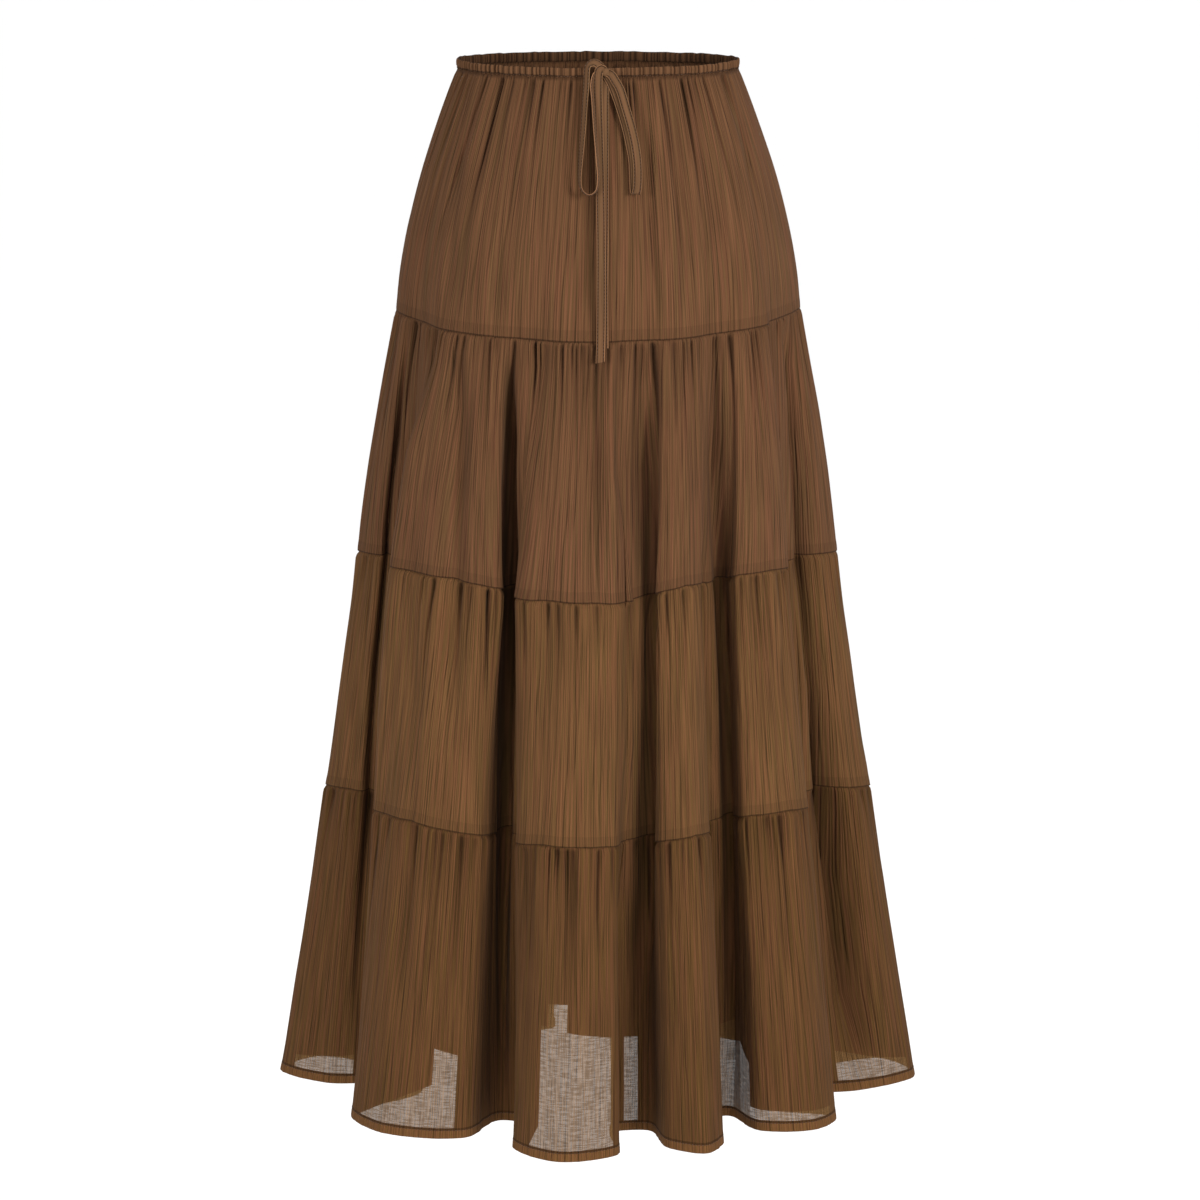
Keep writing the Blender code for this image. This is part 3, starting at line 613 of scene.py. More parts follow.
# %% Grooves and the rise of the seams
Groove = collections.namedtuple("Groove", "left right path")  # half widths to both sides, in metres
GROOVES = (  # each path is rows of level, share and depth
    Groove(0.0048, 0.0030, (
        (1.02, -0.0665, 0.000), (1.15, -0.0660, 0.008), (1.40, -0.0640, 0.026), (1.90, -0.0628, 0.034),
        (2.10, -0.0627, 0.034), (2.50, -0.0633, 0.034), (3.00, -0.0636, 0.030), (3.40, -0.0638, 0.018),
        (3.75, -0.0637, 0.008), (3.95, -0.0637, 0.000),
    )),
    Groove(0.0100, 0.0070, (
        (1.00, 0.0425, 0.000), (1.15, 0.0410, 0.010), (1.50, 0.0405, 0.021), (1.90, 0.0440, 0.027),
        (2.10, 0.0455, 0.027), (2.50, 0.0440, 0.029), (3.00, 0.0415, 0.026), (3.40, 0.0370, 0.010),
        (3.80, 0.0363, 0.000),
    )),
    Groove(0.0220, 0.0200, (  # the centre fold bulges towards this valley
        (1.50, 0.0230, 0.000), (2.00, 0.0255, -0.018), (2.60, 0.0250, -0.020), (3.00, 0.0250, -0.012),
        (3.30, 0.0250, 0.000),
    )),
    Groove(0.0180, 0.0180, (  # and towards the deep one on its left
        (1.10, -0.0500, 0.000), (1.50, -0.0480, -0.012), (2.00, -0.0410, -0.019), (2.50, -0.0420, -0.016),
        (3.00, -0.0410, -0.012), (3.50, -0.0410, -0.008), (3.95, -0.0400, 0.000),
    )),
    Groove(0.0100, 0.0080, (
        (1.30, -0.0780, 0.000), (1.70, -0.0765, -0.005), (2.10, -0.0760, -0.006), (2.80, -0.0750, 0.000),
    )),
    Groove(0.0048, 0.0036, (
        (1.00, 0.1090, 0.000), (1.15, 0.1066, 0.003), (1.50, 0.1069, 0.012), (1.90, 0.1096, 0.012),
        (2.10, 0.1113, 0.011), (2.50, 0.1123, 0.014), (3.00, 0.1129, 0.016), (3.40, 0.1130, 0.012),
        (3.80, 0.1132, 0.005), (3.95, 0.1132, 0.000),
    )),
    Groove(0.0060, 0.0130, (
        (1.00, 0.2004, 0.000), (1.20, 0.2035, 0.013), (1.50, 0.2050, 0.020), (1.90, 0.2070, 0.020),
        (2.20, 0.2080, 0.018), (2.60, 0.2095, 0.020), (3.00, 0.2115, 0.023), (3.30, 0.2150, 0.025),
        (3.70, 0.2165, 0.016), (3.97, 0.2160, 0.000),
    )),
    Groove(0.0200, 0.0180, (
        (2.60, 0.2090, 0.000), (3.00, 0.2090, 0.014), (3.30, 0.2095, 0.026), (3.70, 0.2110, 0.026),
        (3.92, 0.2110, 0.010), (3.99, 0.2110, 0.000),
    )),
    Groove(0.0040, 0.0034, (
        (1.02, -0.1850, 0.000), (1.50, -0.1840, 0.009), (2.00, -0.1885, 0.012), (2.50, -0.1900, 0.012),
        (3.00, -0.1885, 0.009), (3.50, -0.1880, 0.004), (3.80, -0.1880, 0.000),
    )),
    Groove(0.0160, 0.0160, (  # the wide fold left of the centre bulges towards it
        (1.15, -0.1380, 0.000), (1.50, -0.1390, -0.013), (2.20, -0.1370, -0.016), (2.60, -0.1370, -0.015),
        (3.00, -0.1360, -0.009), (3.40, -0.1350, -0.005), (3.80, -0.1340, 0.000),
    )),
    Groove(0.0085, 0.0095, (
        (1.08, -0.1110, 0.000), (1.30, -0.1075, 0.009), (1.60, -0.1045, 0.013), (1.95, -0.1020, 0.009),
        (2.30, -0.1010, 0.007), (2.70, -0.1000, 0.000),
    )),
    Groove(0.0130, 0.0090, (
        (1.03, -0.0065, 0.000), (1.25, -0.0055, 0.012), (1.60, -0.0040, 0.013), (1.98, -0.0020, 0.004),
        (2.10, -0.0010, 0.000),
    )),
    Groove(0.0060, 0.0050, (
        (0.05, 0.0487, 0.0), (0.30, 0.0477, 0.005), (0.70, 0.0466, 0.005), (1.05, 0.0480, 0.0),
    )),
    Groove(0.0110, 0.0090, (
        (0.05, -0.0150, 0.0), (0.40, -0.0120, 0.008), (0.80, -0.0110, 0.008), (1.00, -0.0110, 0.0),
    )),
    Groove(0.0070, 0.0090, (
        (0.05, -0.1101, 0.0), (0.40, -0.0924, 0.003), (0.90, -0.0838, 0.002), (1.00, -0.0840, 0.0),
    )),
    Groove(0.0050, 0.0060, (
        (0.05, 0.0829, 0.0), (0.40, 0.0777, 0.004), (0.80, 0.0762, 0.003), (1.00, 0.0770, 0.0),
    )),
    Groove(0.0080, 0.0080, (
        (0.05, -0.1670, 0.0), (0.40, -0.1430, 0.003), (0.80, -0.1270, 0.002), (1.00, -0.1238, 0.0),
    )),
    Groove(0.0070, 0.0080, (
        (0.05, 0.1921, 0.0), (0.40, 0.1703, 0.003), (0.80, 0.1640, 0.002), (1.00, 0.1640, 0.0),
    )),
    Groove(0.0100, 0.0110, (
        (2.05, -0.0129, 0.0), (2.30, -0.0119, 0.005), (2.80, -0.0107, 0.004), (3.00, -0.0100, 0.002),
        (3.25, -0.0094, 0.006), (3.60, -0.0085, 0.000),
    )),
    Groove(0.0100, 0.0110, (
        (2.05, -0.1006, 0.0), (2.30, -0.0987, 0.004), (2.70, -0.0967, 0.003), (3.00, -0.0951, 0.0),
    )),
    Groove(0.0110, 0.0110, (
        (2.10, -0.1199, 0.0), (2.50, -0.1155, 0.004), (3.00, -0.1117, 0.001), (3.30, -0.1096, 0.004),
        (3.70, -0.1062, 0.0),
    )),
    Groove(0.0100, 0.0110, (
        (2.10, 0.1466, 0.0), (2.50, 0.1444, 0.004), (3.00, 0.1425, 0.001), (3.40, 0.1405, 0.004),
        (3.80, 0.1391, 0.0),
    )),
    Groove(0.0080, 0.0060, (
        (1.02, 0.312, 0.0), (1.30, 0.313, 0.012), (1.90, 0.316, 0.016), (2.60, 0.318, 0.0),
    )),
    Groove(0.0060, 0.0080, (
        (1.02, 0.372, 0.0), (1.35, 0.374, 0.014), (1.90, 0.372, 0.015), (2.70, 0.370, 0.0),
    )),
    Groove(0.0070, 0.0070, (
        (1.02, 0.448, 0.0), (1.25, 0.447, 0.010), (1.80, 0.450, 0.016), (2.50, 0.452, 0.0),
    )),
    Groove(0.0060, 0.0080, (
        (1.02, 0.529, 0.0), (1.40, 0.527, 0.013), (1.90, 0.524, 0.017), (2.80, 0.522, 0.0),
    )),
    Groove(0.0080, 0.0060, (
        (1.02, 0.603, 0.0), (1.30, 0.606, 0.012), (1.85, 0.607, 0.014), (2.60, 0.604, 0.0),
    )),
    Groove(0.0070, 0.0070, (
        (1.02, 0.672, 0.0), (1.40, 0.671, 0.010), (1.90, 0.668, 0.013), (2.60, 0.668, 0.0),
    )),
    Groove(0.0090, 0.0090, (
        (0.05, 0.410, 0.0), (0.40, 0.412, 0.004), (1.00, 0.414, 0.0),
    )),
    Groove(0.0080, 0.0090, (
        (0.05, 0.560, 0.0), (0.40, 0.556, 0.004), (1.00, 0.552, 0.0),
    )),
    Groove(0.0100, 0.0100, (
        (2.10, 0.345, 0.0), (2.50, 0.345, 0.006), (3.40, 0.343, 0.004), (3.80, 0.342, 0.0),
    )),
    Groove(0.0110, 0.0100, (
        (2.10, 0.490, 0.0), (2.60, 0.489, 0.006), (3.40, 0.487, 0.005), (3.80, 0.487, 0.0),
    )),
    Groove(0.0100, 0.0110, (
        (2.10, 0.640, 0.0), (2.50, 0.641, 0.006), (3.30, 0.643, 0.004), (3.80, 0.643, 0.0),
    )),
)
SEAM_RISES = (  # share of the way round, and how much higher seams 2 and 3 lie there, in metres
    (-0.23, 0.000, 0.000), (-0.20, 0.004, 0.006), (-0.16, 0.008, 0.006), (-0.13, 0.011, 0.009),
    (-0.11, 0.011, 0.011), (-0.09, 0.008, 0.005), (-0.065, 0.001, -0.002), (-0.04, 0.000, -0.001),
    (-0.02, 0.002, 0.006), (0.00, 0.000, 0.005), (0.02, -0.002, 0.001), (0.045, 0.001, -0.001),
    (0.07, 0.012, 0.011), (0.09, 0.009, 0.006), (0.105, 0.004, 0.006), (0.13, 0.011, 0.015),
    (0.145, 0.012, 0.017), (0.16, 0.009, 0.012), (0.19, 0.004, 0.008), (0.22, 0.004, 0.009),
    (0.24, 0.000, 0.003), (0.26, 0.000, 0.000),
)


def seam_rise(share, level):
    """How much higher the cloth lies than on a level ring, because a fold's crest lifts its seam."""
    shares, second, third = np.array(SEAM_RISES).T
    place = np.mod(share + 0.5, 1.0) - 0.5
    near = np.clip(1 - np.abs(level - np.array((2, 3))), 0, 1)
    return near[0] * np.interp(place, shares, second) + near[1] * np.interp(place, shares, third)


def groove_at(share, level):
    """How far the long grooves between the folds pull the cloth in at one level, across every tier alike."""
    around = np.interp(level, np.arange(5), SEAM_LENGTHS)
    out = np.zeros(share.shape)
    for groove in GROOVES:
        levels, centres, depths = np.array(groove.path).T
        if levels[0] < level < levels[-1]:
            side = (np.mod(share - np.interp(level, levels, centres) + 0.5, 1.0) - 0.5) * around
            half = np.where(side < 0, groove.left, groove.right)
            out -= np.interp(level, levels, depths) * np.exp(-((side / half) ** 2))
    return out


most_rise = max(max(row[1:]) for row in SEAM_RISES)
print("grooves:", len(GROOVES), "and the most that a seam rises:", most_rise, "m")

# %% [markdown]
# ## Gathers and crinkle
#
# A gathering thread pulls a strip together into many small pleats. They are never alike: some are deep and
# run far down, most are shallow and soon gone, and their crests are rounder than their troughs. So the
# gathers are rows of troughs with uneven spacing, depth and length, drawn from a fixed seed. The listed
# creases are added to them. Last comes the crinkle that the yarn gives the cloth, a low relief of
# long wavering ridges.

# %% Relief of the cloth
SWAY = 0.0018  # how far the gathers wander sideways, in metres
SWAY_CELL = (0.022, 0.050)  # and a cell of the noise that moves them, across and down the cloth
FINE_CRINKLE = 0.00030
FINE_CELL = (0.0032, 0.045)
COARSE_CRINKLE = 0.00045
COARSE_CELL = (0.0090, 0.110)
SIDE_SEAM_DEPTH = 0.0010
SIDE_SEAM_WIDTH = 0.0014
# painted shade: the gauze is painted darker in its gathers the deeper they are
DARK_GATHER = 0.0046  # depth from which a gather is as dark as it gets
OPENING = 0.006  # distance below a seam over which the gathers open
PUFF_LENGTH = 0.060  # distance below a seam over which the puff of the gathers dies away
WIDE_SHARE = 0.8  # depth of the wide gathers as a share of the narrow ones
FLAT_FOOT = 0.045  # height above a tier's foot where its gathers begin to die out
FOOT_ROOM = 0.012  # and the height from which its cloth lies flat
LONGEST = 0.45  # metres down the cloth that the noise reaches, more than any tier is long


def ease(x):
    """A smooth step from 0 to 1."""
    x = np.clip(x, 0.0, 1.0)
    return x * x * (3 - 2 * x)


def wander(along, down, cell_along, cell_down, around, seed):
    """Smooth noise from -1 to 1 that closes round the skirt, with a cell's size in metres both ways."""
    columns = max(int(round(around / cell_along)), 4)
    rows = int(LONGEST / cell_down) + 4
    grid = np.random.default_rng(seed).uniform(-1, 1, (columns, rows))
    a = np.mod(along / around, 1.0) * columns
    b = np.clip(down / cell_down + 1, 0, rows - 2)
    i, j = np.floor(a).astype(int), np.floor(b).astype(int)
    fa, fb = ease(a - i), ease(b - j)
    i0, i1 = i % columns, (i + 1) % columns
    upper = grid[i0, j] * (1 - fa) + grid[i1, j] * fa
    lower = grid[i0, j + 1] * (1 - fa) + grid[i1, j + 1] * fa
    return upper * (1 - fb) + lower * fb


def troughs(along, down, around, count, depth, length, sharpness, seed, least=0.15):
    """Uneven troughs below a seam, each with its own place, depth and length. least is the share of the depth
    that the shallowest has."""
    rng = np.random.default_rng(seed)
    spacing = rng.uniform(0.35, 1.65, count)
    places = np.concatenate([[0.0], np.cumsum(spacing)]) / spacing.sum() * around
    depths = depth * (least + (1 - least) * rng.uniform(0, 1, count) ** 1.6)
    lengths = length * (0.35 + 1.9 * rng.uniform(0, 1, count) ** 1.8)
    phase = np.interp(np.mod(along, around), places, np.arange(count + 1))
    nearest = np.round(phase).astype(int) % count
    valley = 1 - np.abs(np.sin(math.pi * phase)) ** sharpness
    return -depths[nearest] * valley * np.exp(-((down / lengths[nearest]) ** 1.4))


def around_seam(distance, around):
    """The shortest way round the strip."""
    return np.mod(distance + around / 2, around) - around / 2


def hand_creases(number, along, down):
    """The main creases of the front, and similar ones on the back, from one side seam to the
    middle, where they lie closer together."""
    around = TIERS[number - 1].cut_width
    rng = np.random.default_rng(40 + number)
    front = [(along_at(number, row.x, number - 1), row) for row in MAIN_CREASES[number]]
    back = []
    for i, (_, row) in enumerate(front):
        place = around * (0.27 + 0.46 * (i + rng.uniform(0.1, 0.9)) / (len(front) + i))
        back.append((place, row))
    out = np.zeros(along.shape)
    for place, row in front + back:
        side = around_seam(along - place - row.lean * down * np.sign(row.x), around)
        narrowing = row.half_width * (1.15 - 0.45 * ease(down / row.length))
        out -= row.depth * np.exp(-((side / narrowing) ** 2)) * np.exp(-((down / row.length) ** 1.5))
    return out


def relief(number, along, down):
    """How far a tier's own gathers and crinkle stand out from the plain ring, in metres, and how deep in a
    gather each place lies, from 0 to 1, which the gauze paints as shade."""
    tier = TIERS[number - 1]
    around = tier.cut_width
    below = np.maximum(down, 0.0)
    swayed = along + SWAY * wander(along, down, *SWAY_CELL, around, number)
    opening = ease(below / OPENING)
    small = troughs(swayed, below, around, tier.gathers, tier.depth, tier.length, 0.85, 10 + number)
    large = troughs(swayed, below, around, tier.gathers // 3, tier.depth, tier.length * 3.0, 1.0, 20 + number)
    puff = tier.puff * np.exp(-below / PUFF_LENGTH)
    crinkle = FINE_CRINKLE * wander(swayed, down, *FINE_CELL, around, 30 + number)
    crinkle += COARSE_CRINKLE * wander(swayed, down, *COARSE_CELL, around, 50 + number)
    from_seam = around_seam(along - around / 4, around / 2)
    seam = SIDE_SEAM_DEPTH * np.exp(-((from_seam / SIDE_SEAM_WIDTH) ** 2))
    by_hand = hand_creases(number, swayed, below)
    flattened = 1 - ease((down - tier_drop(number) + FLAT_FOOT) / (FLAT_FOOT - FOOT_ROOM))
    gathers = (small + WIDE_SHARE * large + by_hand) * flattened
    out = opening * (gathers + puff) + crinkle * (0.3 + 0.7 * opening) - seam
    # painted shade in the troughs of the gathers and of the creases
    hollow = np.clip(-(gathers - 0.4 * large * flattened) / DARK_GATHER, 0, 1) * ease(down / 0.003)
    # painted shade in the crease just below the casing
    if number == 1:  # just below the casing's stitches the cloth is pulled in
        hollow = np.maximum(hollow, 0.8 * (1 - ease((down - 0.0006) / 0.0016)))
    return out, hollow


print("gathers in each tier:", [tier.gathers for tier in TIERS])

# %% [markdown]
# ## The four tiers
#
# A gathered strip could be draped by a cloth simulation, but thousands of fine gathers held by a seam need
# a very fine mesh and long runs, and they would land anywhere. The strips are laid out instead: a grid of
# places on the cut cloth is carried to the ring's surface and moved out by the relief. Near its foot each
# tier turns under and runs back up inside as its seam allowance, as a real one does, and the next tier
# starts a little way up behind it. That overlap gives the thin dark line of a seam. The last tier ends in a
# hem that is turned twice. A sheet of gauze has no thickness worth modelling, so each panel is a single
# sheet.

# %% Tier panels
SIDES = ("front", "back")
ROWS_DOWN = 34
FOOT_ROWS = (0.010, 0.0065, 0.0040, 0.0022, 0.0010, 0.0004, 0.0)  # heights of the last rows above the foot
FOOT_LIFT = 0.0005  # how far a tier's foot is lifted by what is turned up behind it
TUCK = 0.0011  # how far a tier's top lies behind the foot of the one above
ALLOWANCE_TUCK = 0.0016  # and how far its seam allowance does

# Rows of what is turned up behind a foot: the length of cloth past the foot, how far below the foot each
# lies (above it where under 0), and its shift outwards.
SEAM_TURN = (
    (0.0004, 0.0, 0.0002), (0.0009, 0.0, -0.0004), (0.0016, -0.0005, -0.0008),
    (0.0040, -0.0030, -0.0010), (0.0075, -0.0065, -0.0010), (0.0105, -SEAM_ALLOWANCE, -0.0010),
)
HEM_TURN = (
    (0.0004, 0.0001, 0.0002), (0.0009, 0.0001, -0.0004), (0.0016, -0.0006, -0.0008),
    (0.0045, -0.0035, -0.0009), (0.0085, -0.0074, -0.0009), (0.0091, -HEM_HEIGHT, -0.0005),
    (0.0098, -0.0074, -0.0002), (0.0130, -0.0040, -0.0002), (0.0160, -0.0012, -0.0002),
)


def seam_rows(drop):
    """Rows of one tier from its upper seam to the fold at its foot, closer near the seams."""
    main = drop * np.linspace(0, 1, ROWS_DOWN) ** 1.5
    main = main[main < drop - FOOT_ROOM]
    foot = drop - np.array(FOOT_ROWS)
    return np.concatenate([main, foot])


def foot_lift(up):
    """How far a tier's cloth is lifted at a height above its foot."""
    return FOOT_LIFT * float(ease((FOOT_ROOM - up) / 0.010))


def panel_rows(number):
    """Each row of a panel as its place down the cloth, its place down the skirt and its shift outwards."""
    drop = tier_drop(number)
    down = seam_rows(drop)
    rows = []
    if number == 1:
        rows += [(-0.0030, -0.0030, 0.0), (-0.0015, -0.0015, 0.0)]
    else:
        for up in (SEAM_ALLOWANCE, 0.0060, 0.0030, 0.0012):
            rows.append((-up, -up, -ALLOWANCE_TUCK))
    for place in down:
        tucked = -TUCK * (1 - float(ease(place / 0.003))) if number > 1 else 0.0
        rows.append((place, place, tucked + foot_lift(drop - place)))
    for further, below, out in SEAM_TURN if number < len(TIERS) else HEM_TURN:
        rows.append((drop + further, drop + below, out))
    return np.array(rows)


def cloth_points(number, along, down, out):
    """Places on a tier as points in space, in the grooves and moved out by its relief, row by row."""
    points = np.empty(along.shape + (3,))
    drop = tier_drop(number)
    for row in range(along.shape[0]):
        level = number - 1 + float(down[row, 0]) / drop
        share = share_of(number, along[row])
        moved = out[row] + groove_at(share, level)
        flat = plan(share, level) + outward(share, level) * moved[:, None]
        points[row] = np.column_stack([flat, height(share, level) + seam_rise(share, level)])
    return points


def sheet_mesh(name, points, places, hollow):
    """One sheet of quads from rows of points, with places in metres as its UV map. The last argument says how
    deep in a gather each point lies, from 0 to 1, and becomes the attribute that the gauze reads for its
    painted shade."""
    rows, columns = points.shape[:2]
    corner = np.arange(rows * columns).reshape(rows, columns)
    quads = np.stack([corner[1:, :-1], corner[1:, 1:], corner[:-1, 1:], corner[:-1, :-1]], axis=-1)
    data = bpy.data.meshes.new(name)
    data.from_pydata(points.reshape(-1, 3).tolist(), [], quads.reshape(-1, 4).tolist())
    finish_mesh(data, places.reshape(-1, 2))
    shade = data.attributes.new("hollow", "FLOAT", "POINT")
    shade.data.foreach_set("value", hollow.astype(np.float32).ravel())
    return add_object(name, data)


def tier_panel(number, side):
    """The front (0) or back (1) panel of a tier, from side seam to side seam."""
    tier = TIERS[number - 1]
    rows = panel_rows(number)
    along, cloth_down = np.meshgrid(strip(tier, side, tier.columns + 1), rows[:, 0])
    down = np.repeat(rows[:, 1:2], tier.columns + 1, axis=1)
    shift = np.repeat(rows[:, 2:3], tier.columns + 1, axis=1)
    held = np.where(rows[:, 0] > tier_drop(number), 0.4, 1.0)[:, None]
    out, hollow = relief(number, along, down)
    points = cloth_points(number, along, down, out * held + shift)
    places = np.dstack([along, tier_drop(number) - cloth_down])
    return sheet_mesh(f"cloth_{tier.name}_{SIDES[side]}", points, places, hollow)


panels = {}
for number, tier in enumerate(TIERS, start=1):
    for side, place in enumerate(SIDES):
        panels[f"{tier.name}_{place}"] = tier_panel(number, side)
    print(tier.name, "has", 2 * len(panels[f"{tier.name}_front"].data.polygons), "quads")

# %% [markdown]
# ## The waist casing
#
# The top of the skirt is folded over a thin elastic and stitched down, which makes a narrow tube that
# puckers every few millimetres. Here it is one folded section swept round the waist, pushed in by a row of
# uneven puckers, with a groove near its foot where the stitches pull it tight. It is open at the foot,
# where the first tier goes in.

# %% Casing
PUCKERS = 156
PUCKER_DEPTH = 0.0023
CASING_STITCHES_DOWN = 0.0071  # from the top of the casing to its stitches
CASING_PROFILE = (  # from the outer foot to the inner one: out from the middle, and down from the top
    (0.0003, 0.0085), (0.0009, 0.0082), (0.0009, 0.0076), (0.0005, CASING_STITCHES_DOWN),
    (0.0009, 0.0066), (0.0013, 0.0056), (0.0014, 0.0040), (0.0014, 0.0024), (0.0012, 0.0011),
    (0.0007, 0.0003), (0.0000, 0.0000), (-0.0008, 0.0004), (-0.0014, 0.0020), (-0.0014, 0.0050),
    (-0.0013, 0.0070), (-0.0008, 0.0082), (-0.0002, 0.0085),
)


def pucker(along):
    """How far the casing is pulled in at its puckers."""
    around = TIERS[0].cut_width
    deep = troughs(along, 0 * along, around, PUCKERS, PUCKER_DEPTH, 1.0, 0.9, 71, 0.6)
    return deep + 0.25 * troughs(along, 0 * along, around, PUCKERS // 3, PUCKER_DEPTH, 1.0, 1.0, 72)


def casing_z(along, share, down):
    """Heights on the casing at a distance down from its top, which wavers a little."""
    waver = 0.0004 * wander(along, 0 * along, 0.009, 0.02, TIERS[0].cut_width, 73)
    return height(share, 0.0) + CASING_HEIGHT - down + waver


def casing_half(side):
    """The front (0) or back (1) half of the casing, folded over at its top and open at its foot."""
    columns = PUCKERS // 2 * 8
    along = strip(TIERS[0], side, columns + 1)
    share = share_of(1, along)
    base, normal = plan(share, 0.0), outward(share, 0.0)
    profile = np.array(CASING_PROFILE)
    count = len(profile)
    points = np.empty((columns + 1, count, 3))
    squeeze = pucker(along)
    for i, (out, down) in enumerate(profile):
        ruffled = 0.5 * squeeze if out <= 0 else squeeze
        points[:, i, :2] = base + normal * (out + (ruffled if down > 0 else 0.4 * ruffled))[:, None]
        points[:, i, 2] = casing_z(along, share, down)
    places = np.dstack(np.broadcast_arrays(along[:, None], running_length(profile)[None, :]))
    # painted shade in the troughs of the puckers
    hollow = np.tile(np.clip(-1.5 * squeeze / PUCKER_DEPTH, 0, 1), (count, 1))
    inner = (profile[:, 0] <= 0)[:, None]
    # painted shade: the inner side of the casing is painted much darker
    hollow = np.where(inner, 0.75 + 0.70 * hollow, hollow)  # hardly any light reaches the inside of the waist
    points, places = points.transpose(1, 0, 2), places.transpose(1, 0, 2)
    return sheet_mesh("cloth_casing_" + SIDES[side], points, places, hollow)


casings = {"casing_front": casing_half(0), "casing_back": casing_half(1)}
print("casing puckers are", round(SEAM_LENGTHS[0] / PUCKERS * 1000, 1), "mm apart")

# %% [markdown]
# ## The knot of the bow
#
# The knot of a bow is the tape itself: one turn goes straight over the middle, and two slanting turns show
# beside it where the loops pull out. Each turn starts as a plain cylinder with no ends, squashed to the
# section of the knot. Its middle ring is pushed out and its rims are drawn in, so that the turn bulges
# between its edges, and it is given the thickness of the tape. A rounded core fills the space between.

# %% Knot
KNOT_MIDDLE = Vector((0.0062, -0.0932, -0.0062))
KNOT_CORE = Vector((0.0026, 0.0018, 0.0026))  # half sizes
KNOT_TURNS = (  # name, shift from the middle, half depth, half height, width and tilt in degrees
    ("knot_turn_middle", (0.0, 0.0, 0.0), 0.0030, 0.0036, 0.0042, -28),
    ("knot_turn_left", (-0.0014, 0.0006, 0.0012), 0.0024, 0.0030, 0.0034, -62),
    ("knot_turn_right", (0.0016, 0.0004, -0.0012), 0.0024, 0.0028, 0.0034, 34),
)
TURN_THICKNESS = 0.0009


def select_ring(piece, test):
    """Selects the vertices that pass a test on their place, and nothing else."""
    bpy.ops.object.mode_set(mode="EDIT")
    bpy.ops.mesh.select_mode(type="VERT")
    bpy.ops.mesh.select_all(action="DESELECT")
    bpy.ops.object.mode_set(mode="OBJECT")
    for vertex in piece.data.vertices:
        vertex.select = bool(test(vertex.co))
    bpy.ops.object.mode_set(mode="EDIT")


def round_off(piece):
    """Subdivides a piece once, applies its modifiers and shades it smooth."""
    soft = piece.modifiers.new("rounded", "SUBSURF")
    soft.levels = soft.render_levels = 1
    for modifier in list(piece.modifiers):
        bpy.ops.object.modifier_apply(modifier=modifier.name)
    piece.data.shade_smooth()


def knot_turn(name, shift, half_depth, half_height, width, tilt):
    """One turn of tape round the knot, whose flat side faces forward, tilted from upright."""
    bpy.ops.object.select_all(action="DESELECT")
    bpy.ops.mesh.primitive_cylinder_add(
        vertices=40, radius=1.0, depth=width, end_fill_type="NOTHING", rotation=(0, math.pi / 2, 0)
    )
    piece = bpy.context.object
    piece.name = name
    bpy.ops.object.transform_apply(location=True, rotation=True, scale=True)
    bpy.ops.object.mode_set(mode="EDIT")
    for across in (0.0, -0.3, 0.3):
        bpy.ops.mesh.select_all(action="SELECT")
        bpy.ops.mesh.bisect(plane_co=(width * across, 0, 0), plane_no=(1, 0, 0))
    bpy.ops.object.mode_set(mode="OBJECT")
    select_ring(piece, lambda co: abs(co.x) < width * 0.1)
    bpy.ops.transform.resize(value=(1.0, 1.10, 1.05))
    select_ring(piece, lambda co: abs(co.x) > width * 0.4)
    bpy.ops.transform.resize(value=(1.0, 0.88, 0.96))
    bpy.ops.mesh.select_all(action="SELECT")
    bpy.ops.transform.resize(value=(1.0, half_depth, half_height))
    bpy.ops.transform.rotate(value=math.radians(tilt), orient_axis="Y", center_override=(0, 0, 0))
    bpy.ops.transform.translate(value=KNOT_MIDDLE + Vector(shift))
    bpy.ops.mesh.normals_make_consistent(inside=False)
    bpy.ops.object.mode_set(mode="OBJECT")
    wall = piece.modifiers.new("tape thickness", "SOLIDIFY")
    wall.thickness = TURN_THICKNESS
    wall.offset = -1.0
    round_off(piece)
    return piece


def knot_core():
    bpy.ops.object.select_all(action="DESELECT")
    bpy.ops.mesh.primitive_cube_add(size=2.0)
    piece = bpy.context.object
    piece.name = "knot_core"
    bpy.ops.object.mode_set(mode="EDIT")
    bpy.ops.mesh.select_all(action="SELECT")
    bpy.ops.transform.resize(value=KNOT_CORE)
    bpy.ops.mesh.subdivide(number_cuts=2, smoothness=0.6)
    bpy.ops.transform.translate(value=KNOT_MIDDLE)
    bpy.ops.object.mode_set(mode="OBJECT")
    round_off(piece)
    return piece


knot_pieces = [knot_core()] + [knot_turn(*row) for row in KNOT_TURNS]
print("knot pieces:", [piece.name for piece in knot_pieces])

# %% [markdown]
# ## Stitches
#
# The hem, the casing and both edges of the tape are sewn with a lockstitch, so what shows is a row of short
# dashes of thread that dip into the cloth at their ends. There are about two thousand of them, so one
# stitch is only a four-sided spindle, repeated along a path with the cloth's normal, and each row is a
# single mesh.

# %% Stitches
STITCH_PITCH = 0.0030
STITCH_RADIUS = 0.00022
STITCH_SHARE = 0.78  # of the pitch that a stitch covers; the rest is the thread's dip into the cloth
HEM_STITCHES_UP = 0.0069  # from the skirt's lower edge


